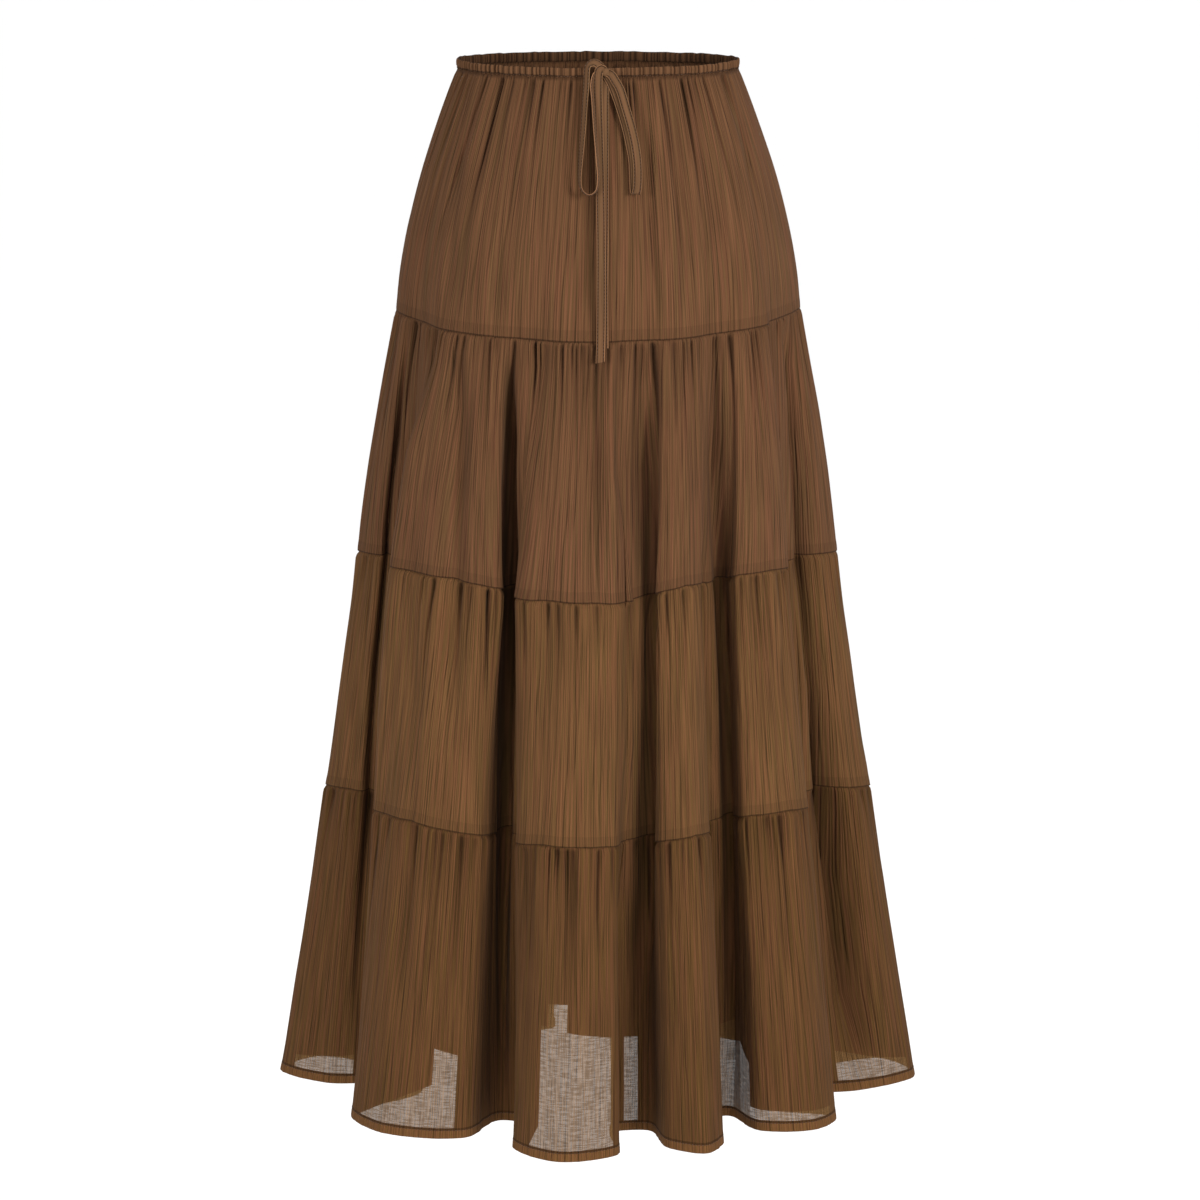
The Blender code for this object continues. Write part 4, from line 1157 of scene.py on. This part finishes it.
def stitch_row(name, points, normals, lift):
    """Spindles of thread along a path, each between two holes, raised above the cloth by lift."""
    travelled = running_length(points)
    holes = np.arange(0.0, travelled[-1], STITCH_PITCH)
    next_holes = holes + STITCH_PITCH * STITCH_SHARE
    starts = np.column_stack([np.interp(holes, travelled, points[:, i]) for i in range(3)])
    ends = np.column_stack([np.interp(next_holes, travelled, points[:, i]) for i in range(3)])
    out = np.column_stack([np.interp(holes, travelled, normals[:, i]) for i in range(3)])
    forward = ends - starts
    size = np.linalg.norm(forward, axis=1)
    keep = size > STITCH_PITCH * 0.3
    starts, ends, out = starts[keep], ends[keep], out[keep]
    forward = forward[keep] / size[keep, None]
    side = np.cross(forward, out)
    side /= np.linalg.norm(side, axis=1)[:, None]
    verts, faces = [], []
    for i in range(len(starts)):
        base = len(verts)
        verts.append(starts[i] + out[i] * (lift - STITCH_RADIUS * 1.5))
        for part in (0.25, 0.75):
            middle = starts[i] + (ends[i] - starts[i]) * part + out[i] * lift
            for a in range(4):
                turn = math.pi / 4 + a * math.pi / 2
                verts.append(middle + STITCH_RADIUS * (math.cos(turn) * side[i] + math.sin(turn) * out[i]))
        verts.append(ends[i] + out[i] * (lift - STITCH_RADIUS * 1.5))
        for a in range(4):
            b = (a + 1) % 4
            faces.append((base, base + 1 + b, base + 1 + a))
            faces.append((base + 1 + a, base + 1 + b, base + 5 + b, base + 5 + a))
            faces.append((base + 9, base + 5 + a, base + 5 + b))
    data = bpy.data.meshes.new(name)
    data.from_pydata([tuple(v) for v in verts], [], faces)
    data.polygons.foreach_set("use_smooth", np.ones(len(data.polygons), bool))
    data.update()
    piece = add_object(name, data)
    face_outwards(piece)
    return piece, len(starts)


def hem_stitches(side):
    """The stitches of the hem, along the upper edge of its turned band."""
    drop = tier_drop(4)
    along = strip(TIERS[-1], side, 2400)[None, :]
    down = np.full(along.shape, drop - HEM_STITCHES_UP)
    out = relief(4, along, down)[0] + foot_lift(HEM_STITCHES_UP)
    points = cloth_points(4, along, down, out)[0]
    flat = outward(share_of(4, along[0]), 4 - HEM_STITCHES_UP / drop)
    normals = np.column_stack([flat, np.zeros(len(flat))])
    return stitch_row("stitches_hem_" + SIDES[side], points, normals, 0.0001)


def casing_stitches(side):
    along = strip(TIERS[0], side, 1600)
    share = share_of(1, along)
    normal = outward(share, 0.0)
    flat = plan(share, 0.0) + normal * (0.0005 + pucker(along))[:, None]
    points = np.column_stack([flat, casing_z(along, share, CASING_STITCHES_DOWN)])
    normals = np.column_stack([normal, np.zeros(len(normal))])
    return stitch_row("stitches_casing_" + SIDES[side], points, normals, 0.00012)


def tape_stitches(name):
    """Two rows of stitches on the tape's front face, as one piece."""
    points = routes[name][:, :3]
    width, face = tape_frame(name, routes[name])
    if face[:, 1].mean() > 0 and name not in FACE_ON:
        face = -face
    inset = TAPE_WIDTH / 2 - TAPE_STITCH_INSET
    lift = TAPE_THICKNESS / 2 - 0.00006
    rows = []
    for hand in (-1, 1):
        edge = points[3:-3] + hand * inset * width[3:-3]
        rows.append(stitch_row("stitches_" + tapes[name].name, edge, face[3:-3], lift)[0])
    bpy.ops.object.select_all(action="DESELECT")
    for row in rows:
        row.select_set(True)
    bpy.context.view_layer.objects.active = rows[0]
    bpy.ops.object.join()
    rows[0].select_set(False)
    return rows[0]


stitches = {}
for side, place in enumerate(SIDES):
    stitches[f"tier_4_{place}"], count = hem_stitches(side)
    stitches[f"casing_{place}"], less = casing_stitches(side)
    print(place, "has", count, "stitches in its hem and", less, "in its casing")
for name in TIE_ROUTES:
    stitches[name] = tape_stitches(name)

# %% [markdown]
# ## Patterns of the gauze
#
# The cloth is cotton gauze with a crepe twist in its yarn. When it is washed the yarn shrinks back on
# itself, and the cloth crinkles into long ridges that run down the skirt with thin dark creases between
# them. Three patterns make it, all on the cloth's own places in metres: fine ribs along the warp, crepe
# creases 2 mm apart that sway and fade in and out, and stronger ones 7 mm apart. A line comes from a zigzag
# across the cloth, pushed sideways by soft noise that is drawn out along the warp.

# %% Patterns of the gauze
RIB = 0.0009  # metres; real yarns are some 0.5 mm apart, too fine to show, so they are drawn coarser
CREPE = 0.0021  # metres from one crepe crease to the next
LONG_CREASE = 0.0067  # and from one of the stronger ones to the next
SWAYS = (  # a cell of noise in pitches across and in metres down, and how many pitches it pushes aside
    (6.0, 0.240, 1.8), (1.7, 0.120, 0.5), (1.1, 0.050, 0.2),
)
SMOOTH = {"interpolation_type": "SMOOTHSTEP"}
ALONG, UP = 0, 1  # the two numbers of a place on the cloth


def streaks(tree, places, across, down, shift):
    """Soft noise from 0 to 1 on the cloth's places, with a cell's size in metres both ways."""
    inputs = {"Vector": places, "Scale": (1 / across, 1 / down, 1.0), "Location": (shift, shift * 0.37, 0.0)}
    cells = add_node(tree, "ShaderNodeMapping", inputs=inputs)
    inputs = {"Vector": cells.outputs["Vector"], "Scale": 1.0, "Detail": 1.0}
    return add_node(tree, "ShaderNodeTexNoise", {"noise_dimensions": "2D"}, inputs).outputs["Fac"]


def clear_streaks(tree, places, size, shift, between, to=(0.0, 1.0)):
    """Streaks that fall away to one value where the noise is low and to another where it is high."""
    noise = streaks(tree, places, *size, shift)
    inputs = {0: noise, 1: between[0], 2: between[1], 3: to[0], 4: to[1]}
    return add_node(tree, "ShaderNodeMapRange", SMOOTH, inputs).outputs[0]


def creases(tree, places, along, pitch, half):
    """Thin dark lines down the cloth, pitch metres apart, that sway to both sides and fade in and out. half
    is half a line's width in pitches."""
    phase = add_node(tree, "ShaderNodeMath", {"operation": "DIVIDE"}, {0: along, 1: pitch}).outputs[0]
    for across, down, sway in SWAYS:
        push = streaks(tree, places, across * pitch, down, 1000 * pitch + across)
        inputs = {0: push, 1: sway, 2: phase}
        phase = add_node(tree, "ShaderNodeMath", {"operation": "MULTIPLY_ADD"}, inputs).outputs[0]
    away = add_node(tree, "ShaderNodeMath", {"operation": "PINGPONG"}, {0: phase, 1: 0.5}).outputs[0]
    line = add_node(tree, "ShaderNodeMapRange", SMOOTH, {0: away, 1: 0.0, 2: half, 3: 1.0, 4: 0.0}).outputs[0]
    size = (1.3 * pitch, 0.080)
    strength = clear_streaks(tree, places, size, shift=300 * pitch, between=(0.34, 0.66), to=(0.15, 1.0))
    return add_node(tree, "ShaderNodeMath", {"operation": "MULTIPLY"}, {0: line, 1: strength}).outputs[0]


def darkened(tree, shade, pattern, amount):
    """The shade, made darker by amount where the pattern is 1."""
    inputs = {0: pattern, 1: -amount, 2: 1.0}
    left = add_node(tree, "ShaderNodeMath", {"operation": "MULTIPLY_ADD"}, inputs).outputs[0]
    return add_node(tree, "ShaderNodeMath", {"operation": "MULTIPLY"}, {0: shade, 1: left}).outputs[0]


print("metres between ribs, crepe creases and stronger ones:", RIB, CREPE, LONG_CREASE)

# %% [markdown]
# ## Where light comes through the hem
#
# One layer of this gauze against a white wall lets up to a sixth of the light through its mesh. Two layers
# hide the wall. So the skirt only glows near the hem, in the middle of each fold, where no other part of
# the cloth hangs behind. There the mesh opens, and the colour is painted lighter and warmer as the glow of
# that light. Each such window is a row: its two sides along the strip, the height above the hem of its top
# at both, and how much light reaches it, which is less where the cloth turns away into a valley, as painted
# shade on both the glow and the openings. The threads of the mesh show there, thick and thin, both along
# and across.

# %% Windows in the hem
Window = collections.namedtuple("Window", "left right left_top right_top light")
FRONT_WINDOWS = (
    Window(-0.6320, -0.5730, 0.020, 0.026, 1.0), Window(-0.3750, -0.2855, 0.006, 0.046, 1.0),
    Window(-0.2860, -0.2635, 0.077, 0.072, 1.0), Window(-0.0710, -0.0570, 0.004, 0.028, 1.0),
    Window(-0.0575, 0.0165, 0.112, 0.101, 1.0), Window(-0.0500, -0.0300, 0.131, 0.131, 1.0),
    Window(0.0955, 0.1090, 0.085, 0.084, 0.8), Window(0.3290, 0.3420, 0.082, 0.084, 0.6),
    Window(0.3420, 0.3550, 0.086, 0.086, 0.2), Window(0.3550, 0.3750, 0.070, 0.055, 0.5),
    Window(0.3750, 0.4620, 0.018, 0.015, 1.0), Window(0.6330, 0.7090, 0.033, 0.020, 1.0),
)
BACK_WINDOWS = (
    Window(1.020, 1.052, 0.030, 0.038, 1.0), Window(1.272, 1.345, 0.062, 0.070, 1.0),
    Window(1.562, 1.638, 0.086, 0.078, 1.0), Window(1.842, 1.898, 0.052, 0.044, 1.0),
    Window(2.090, 2.122, 0.034, 0.026, 1.0),
)
# the painted glow of the light that comes through a window, as a lighter, warmer colour
LIT_COLOUR = "#60462a"
OPEN_HOLES = 0.165  # the share of light that passes where the mesh is widest


def window_light(tree, place, windows):
    """How much light shines through, from 0 to 1."""
    lit = 0.0
    for row in windows:
        middle, half = (row.left + row.right) / 2, (row.right - row.left) / 2
        slope = (row.right_top - row.left_top) / (row.right - row.left)
        inputs = {0: place[ALONG], 1: middle, 2: half}
        between = add_node(tree, "ShaderNodeMath", {"operation": "COMPARE"}, inputs).outputs[0]
        inputs = {0: place[ALONG], 1: slope, 2: row.left_top - slope * row.left}
        top = add_node(tree, "ShaderNodeMath", {"operation": "MULTIPLY_ADD"}, inputs).outputs[0]
        inputs = {0: place[UP], 1: top}
        below = add_node(tree, "ShaderNodeMath", {"operation": "LESS_THAN"}, inputs).outputs[0]
        inputs = {0: between, 1: below}
        window = add_node(tree, "ShaderNodeMath", {"operation": "MULTIPLY"}, inputs).outputs[0]
        # painted shade: less glow and fewer openings where the cloth turns into a valley
        inputs = {0: window, 1: row.light}
        window = add_node(tree, "ShaderNodeMath", {"operation": "MULTIPLY"}, inputs).outputs[0]
        lit = add_node(tree, "ShaderNodeMath", {"operation": "MAXIMUM"}, {0: lit, 1: window}).outputs[0]
    inputs = {0: place[UP], 1: HEM_HEIGHT + 0.001}
    above_hem = add_node(tree, "ShaderNodeMath", {"operation": "GREATER_THAN"}, inputs).outputs[0]
    return add_node(tree, "ShaderNodeMath", {"operation": "MULTIPLY"}, {0: lit, 1: above_hem}).outputs[0]


def gauze_mesh(tree, places):
    """Where the threads of the mesh lie thick, from 0 to 1, both ways of the cloth."""
    warp = clear_streaks(tree, places, (0.0010, 0.020), shift=4.4, between=(0.40, 0.66), to=(0.0, 0.8))
    weft = clear_streaks(tree, places, (0.012, 0.0010), shift=8.2, between=(0.38, 0.62))
    both = add_node(tree, "ShaderNodeMath", {"operation": "ADD"}, {0: warp, 1: weft}).outputs[0]
    return add_node(tree, "ShaderNodeMath", {"operation": "MULTIPLY"}, {0: both, 1: 0.6}).outputs[0]


print("windows in the hem:", len(FRONT_WINDOWS), "in front and", len(BACK_WINDOWS), "behind")

# %% [markdown]
# ## Crinkled gauze
#
# The gauze is matt and hardly shines at all. Its patterns drive both the bump and the colour: the creases
# are painted darker as their shade, and the gathers darker still. Seams are marks at a height above a
# tier's foot: the dark line of the stitching, and painted shade on the band where the cloth lies double and
# holds back more light. They are rows of a few numbers, so every finish is made by one function.

# %% Crinkled gauze
MATT = {"Roughness": 0.95, "Specular IOR Level": 0.04, "Sheen Weight": 0.01, "Sheen Roughness": 0.5}
COLOURS = {"data_type": "RGBA"}
BASE_SHADE = 1.08  # the colour's brightness where nothing darkens it
RIB_SHADE = 0.18  # how far the ribs make it lighter and darker
# painted shade: how much darker the creases and the hollows of the gathers are painted
CREPE_SHADE = 0.36  # and how much darker each kind of line and hollow is
LONG_SHADE = 0.34
HOLLOW_SHADE = 0.60
THREAD_SHADE = 0.30  # and the threads of the mesh, where light comes through
EVENNESS = 0.66  # the share of the middle colour; the rest is the reddish and olive cast

# A line or band on the cloth that is darker by its amount, or lighter where the amount is below 0.
Mark = collections.namedtuple("Mark", "axis middle half amount")


def gauze(name, colours, relief=0.0005, depth=1.0, marks=(), windows=()):
    """Gauze in a middle, a reddish and an olive colour. relief is the height of its ridges in metres, depth
    how strongly its creases show, marks its seams, and windows where it lets light through."""
    material, tree, shader = new_material(name)
    middle, reddish, olive = (srgb(colour) for colour in colours)
    places = add_node(tree, "ShaderNodeUVMap", {"uv_map": "cloth"}).outputs["UV"]
    place = add_node(tree, "ShaderNodeSeparateXYZ", inputs={0: places}).outputs
    ribs = clear_streaks(tree, places, (RIB, 0.070), shift=2.7, between=(0.25, 0.75))
    crepe = creases(tree, places, place[ALONG], CREPE, half=0.34)
    long_ones = creases(tree, places, place[ALONG], LONG_CREASE, half=0.14)
    hollow = add_node(tree, "ShaderNodeAttribute", {"attribute_name": "hollow"}).outputs["Fac"]

    ridges = add_node(tree, "ShaderNodeMath", {"operation": "MULTIPLY"}, {0: ribs, 1: 0.35}).outputs[0]
    for pattern, drop in ((crepe, 0.6), (long_ones, 1.0)):
        inputs = {0: pattern, 1: -drop, 2: ridges}
        ridges = add_node(tree, "ShaderNodeMath", {"operation": "MULTIPLY_ADD"}, inputs).outputs[0]
    bump = add_node(tree, "ShaderNodeBump", inputs={"Height": ridges, "Distance": relief, "Strength": 1.0})
    tree.links.new(bump.outputs["Normal"], shader.inputs["Normal"])

    inputs = {0: ribs, 1: 0.0, 2: 1.0, 3: BASE_SHADE - RIB_SHADE * depth, 4: BASE_SHADE + RIB_SHADE * depth}
    shade = add_node(tree, "ShaderNodeMapRange", SMOOTH, inputs).outputs[0]
    # painted shade in the creases and in the hollows of the gathers
    darker = ((crepe, CREPE_SHADE * depth), (long_ones, LONG_SHADE * depth), (hollow, HOLLOW_SHADE))
    for pattern, amount in darker:
        shade = darkened(tree, shade, pattern, amount)
    for mark in marks:
        inputs = {0: place[mark.axis], 1: mark.middle, 2: mark.half}
        band = add_node(tree, "ShaderNodeMath", {"operation": "COMPARE"}, inputs).outputs[0]
        shade = darkened(tree, shade, band, mark.amount)

    cast = clear_streaks(tree, places, (0.0015, 0.100), shift=5.3, between=(0.35, 0.65))
    tint = add_node(tree, "ShaderNodeMix", COLOURS, {"Factor": cast, 6: olive, 7: reddish}).outputs[2]
    tint = add_node(tree, "ShaderNodeMix", COLOURS, {"Factor": EVENNESS, 6: tint, 7: middle}).outputs[2]
    if windows:
        lit = window_light(tree, place, windows)
        mesh = gauze_mesh(tree, places)
        # painted glow: the tint turns lighter and warmer where light comes through
        inputs = {"Factor": lit, 6: tint, 7: srgb(LIT_COLOUR)}
        tint = add_node(tree, "ShaderNodeMix", COLOURS, inputs).outputs[2]
        in_mesh = add_node(tree, "ShaderNodeMath", {"operation": "MULTIPLY"}, {0: mesh, 1: lit}).outputs[0]
        shade = darkened(tree, shade, in_mesh, THREAD_SHADE)
        inputs = {0: mesh, 1: 0.0, 2: 1.0, 3: OPEN_HOLES, 4: 0.3 * OPEN_HOLES}
        holes = add_node(tree, "ShaderNodeMapRange", SMOOTH, inputs).outputs[0]
        through = add_node(tree, "ShaderNodeMath", {"operation": "MULTIPLY"}, {0: holes, 1: lit}).outputs[0]
        alpha = add_node(tree, "ShaderNodeMath", {"operation": "SUBTRACT"}, {0: 1.0, 1: through}).outputs[0]
        tree.links.new(alpha, shader.inputs["Alpha"])
    coloured = add_node(tree, "ShaderNodeVectorMath", {"operation": "SCALE"}, {0: tint, "Scale": shade})
    tree.links.new(coloured.outputs[0], shader.inputs["Base Color"])
    for socket, value in MATT.items():
        shader.inputs[socket].default_value = value
    return material


# the dark line of the stitching, and painted shade on the band where the seam allowance doubles the cloth
SEAM = (Mark(UP, 0.0005, 0.0006, 0.55), Mark(UP, 0.0050, 0.0044, 0.12))
tier_cloth = gauze("crinkled cotton gauze", ("#4c3320", "#583627", "#463620"), marks=SEAM)
print(tier_cloth.name, "has", len(tier_cloth.node_tree.nodes), "nodes")

# %% [markdown]
# ## The finishes of the cloth
#
# The tiers, the hem, the casing and the tape are all of one gauze, each in a middle, a reddish and an olive
# colour. The third tier and the hem are painted a shade more olive, for the warm light that comes through the
# cloth there. The tape is folded and pressed, so its creases hardly show; its edges are painted lighter as a
# highlight, and a row of stitches pulls it in beside each edge, where it is painted darker as shade.

# %% Finishes of the cloth
# painted warmth: the hem is a more olive copy of the gauze, for the light that comes through it
HEM_COLOURS = ("#4a311b", "#553524", "#433417")
HEM = (Mark(UP, 0.0079, 0.0011, 0.42), Mark(UP, 0.0034, 0.0034, -0.38))
CASING = (Mark(UP, 0.0018, 0.0010, 0.62),)
EDGE = TAPE_WIDTH / 2 - TAPE_STITCH_INSET
# painted shade along the tape's rows of stitches, and painted highlight along its two edges
TAPE = tuple(Mark(ALONG, hand * EDGE, 0.0006, 0.62) for hand in (-1, 1))
TAPE += tuple(Mark(ALONG, hand * TAPE_WIDTH / 2, 0.0005, -0.90) for hand in (-1, 1))

# painted warmth: the third tier is a lighter, more olive copy of the gauze, for the light through it
third_name = "crinkled cotton gauze of the third tier"
third_cloth = gauze(third_name, ("#4f361f", "#5a3826", "#48381e"), marks=SEAM)
low_cloth = {"tier_3_front": third_cloth, "tier_3_back": third_cloth}
for place, windows in zip(SIDES, (FRONT_WINDOWS, BACK_WINDOWS)):
    name = f"crinkled cotton gauze of the {place} hem"
    low_cloth[f"tier_4_{place}"] = gauze(name, HEM_COLOURS, marks=HEM, windows=windows)
casing_cloth = gauze("gathered gauze over elastic", ("#533825", "#5d3e2a", "#4a3923"), 0.0002, 0.7, CASING)
tape_cloth = gauze("folded gauze tape", ("#4f3725", "#563c29", "#4a3924"), 0.0002, 0.6, TAPE)
print("gauze materials:", [m.name for m in bpy.data.materials if "gauze" in m.name])

# %% [markdown]
# ## Sewing thread
#
# Spun polyester thread has a soft shine, and its twist shows as light and dark flecks about as long as a
# stitch is thick. On the whole it is dyed close to the gauze.

# %% Sewing thread
thread, thread_tree, thread_shader = new_material("spun polyester sewing thread")
thread_inputs = {"Vector": add_node(thread_tree, "ShaderNodeTexCoord").outputs["Object"]}
thread_inputs.update({"Scale": 2500.0, "Detail": 1.0})
twist = add_node(thread_tree, "ShaderNodeTexNoise", inputs=thread_inputs).outputs["Fac"]
thread_inputs = {"Factor": twist, 6: srgb("#2c1d14"), 7: srgb("#5a4030")}
thread_colour = add_node(thread_tree, "ShaderNodeMix", COLOURS, thread_inputs).outputs[2]
thread_tree.links.new(thread_colour, thread_shader.inputs["Base Color"])
thread_shader.inputs["Roughness"].default_value = 0.6
thread_shader.inputs["Specular IOR Level"].default_value = 0.3
print("thread:", thread.name)

# %% [markdown]
# ## What each piece is
#
# Every piece takes its finish and stands for its imported solid, which is hidden. A panel of a tier is cut as
# a flat rectangle: half of the tier's width, and its fall with a seam allowance at both edges, or a hem
# turned twice on the last one.


def belongs(piece, node, material):
    piece.data.materials.clear()
    piece.data.materials.append(material)
    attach(piece, "root")
    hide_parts(node)


for node, piece in panels.items():
    number = int(node[5])
    belongs(piece, node, low_cloth.get(node, tier_cloth))
for node, piece in casings.items():
    belongs(piece, node, casing_cloth)
for piece in knot_pieces:
    belongs(piece, "tie_knot", tape_cloth)
for node, piece in tapes.items():
    belongs(piece, node, tape_cloth)
for node, piece in stitches.items():
    belongs(piece, node, thread)
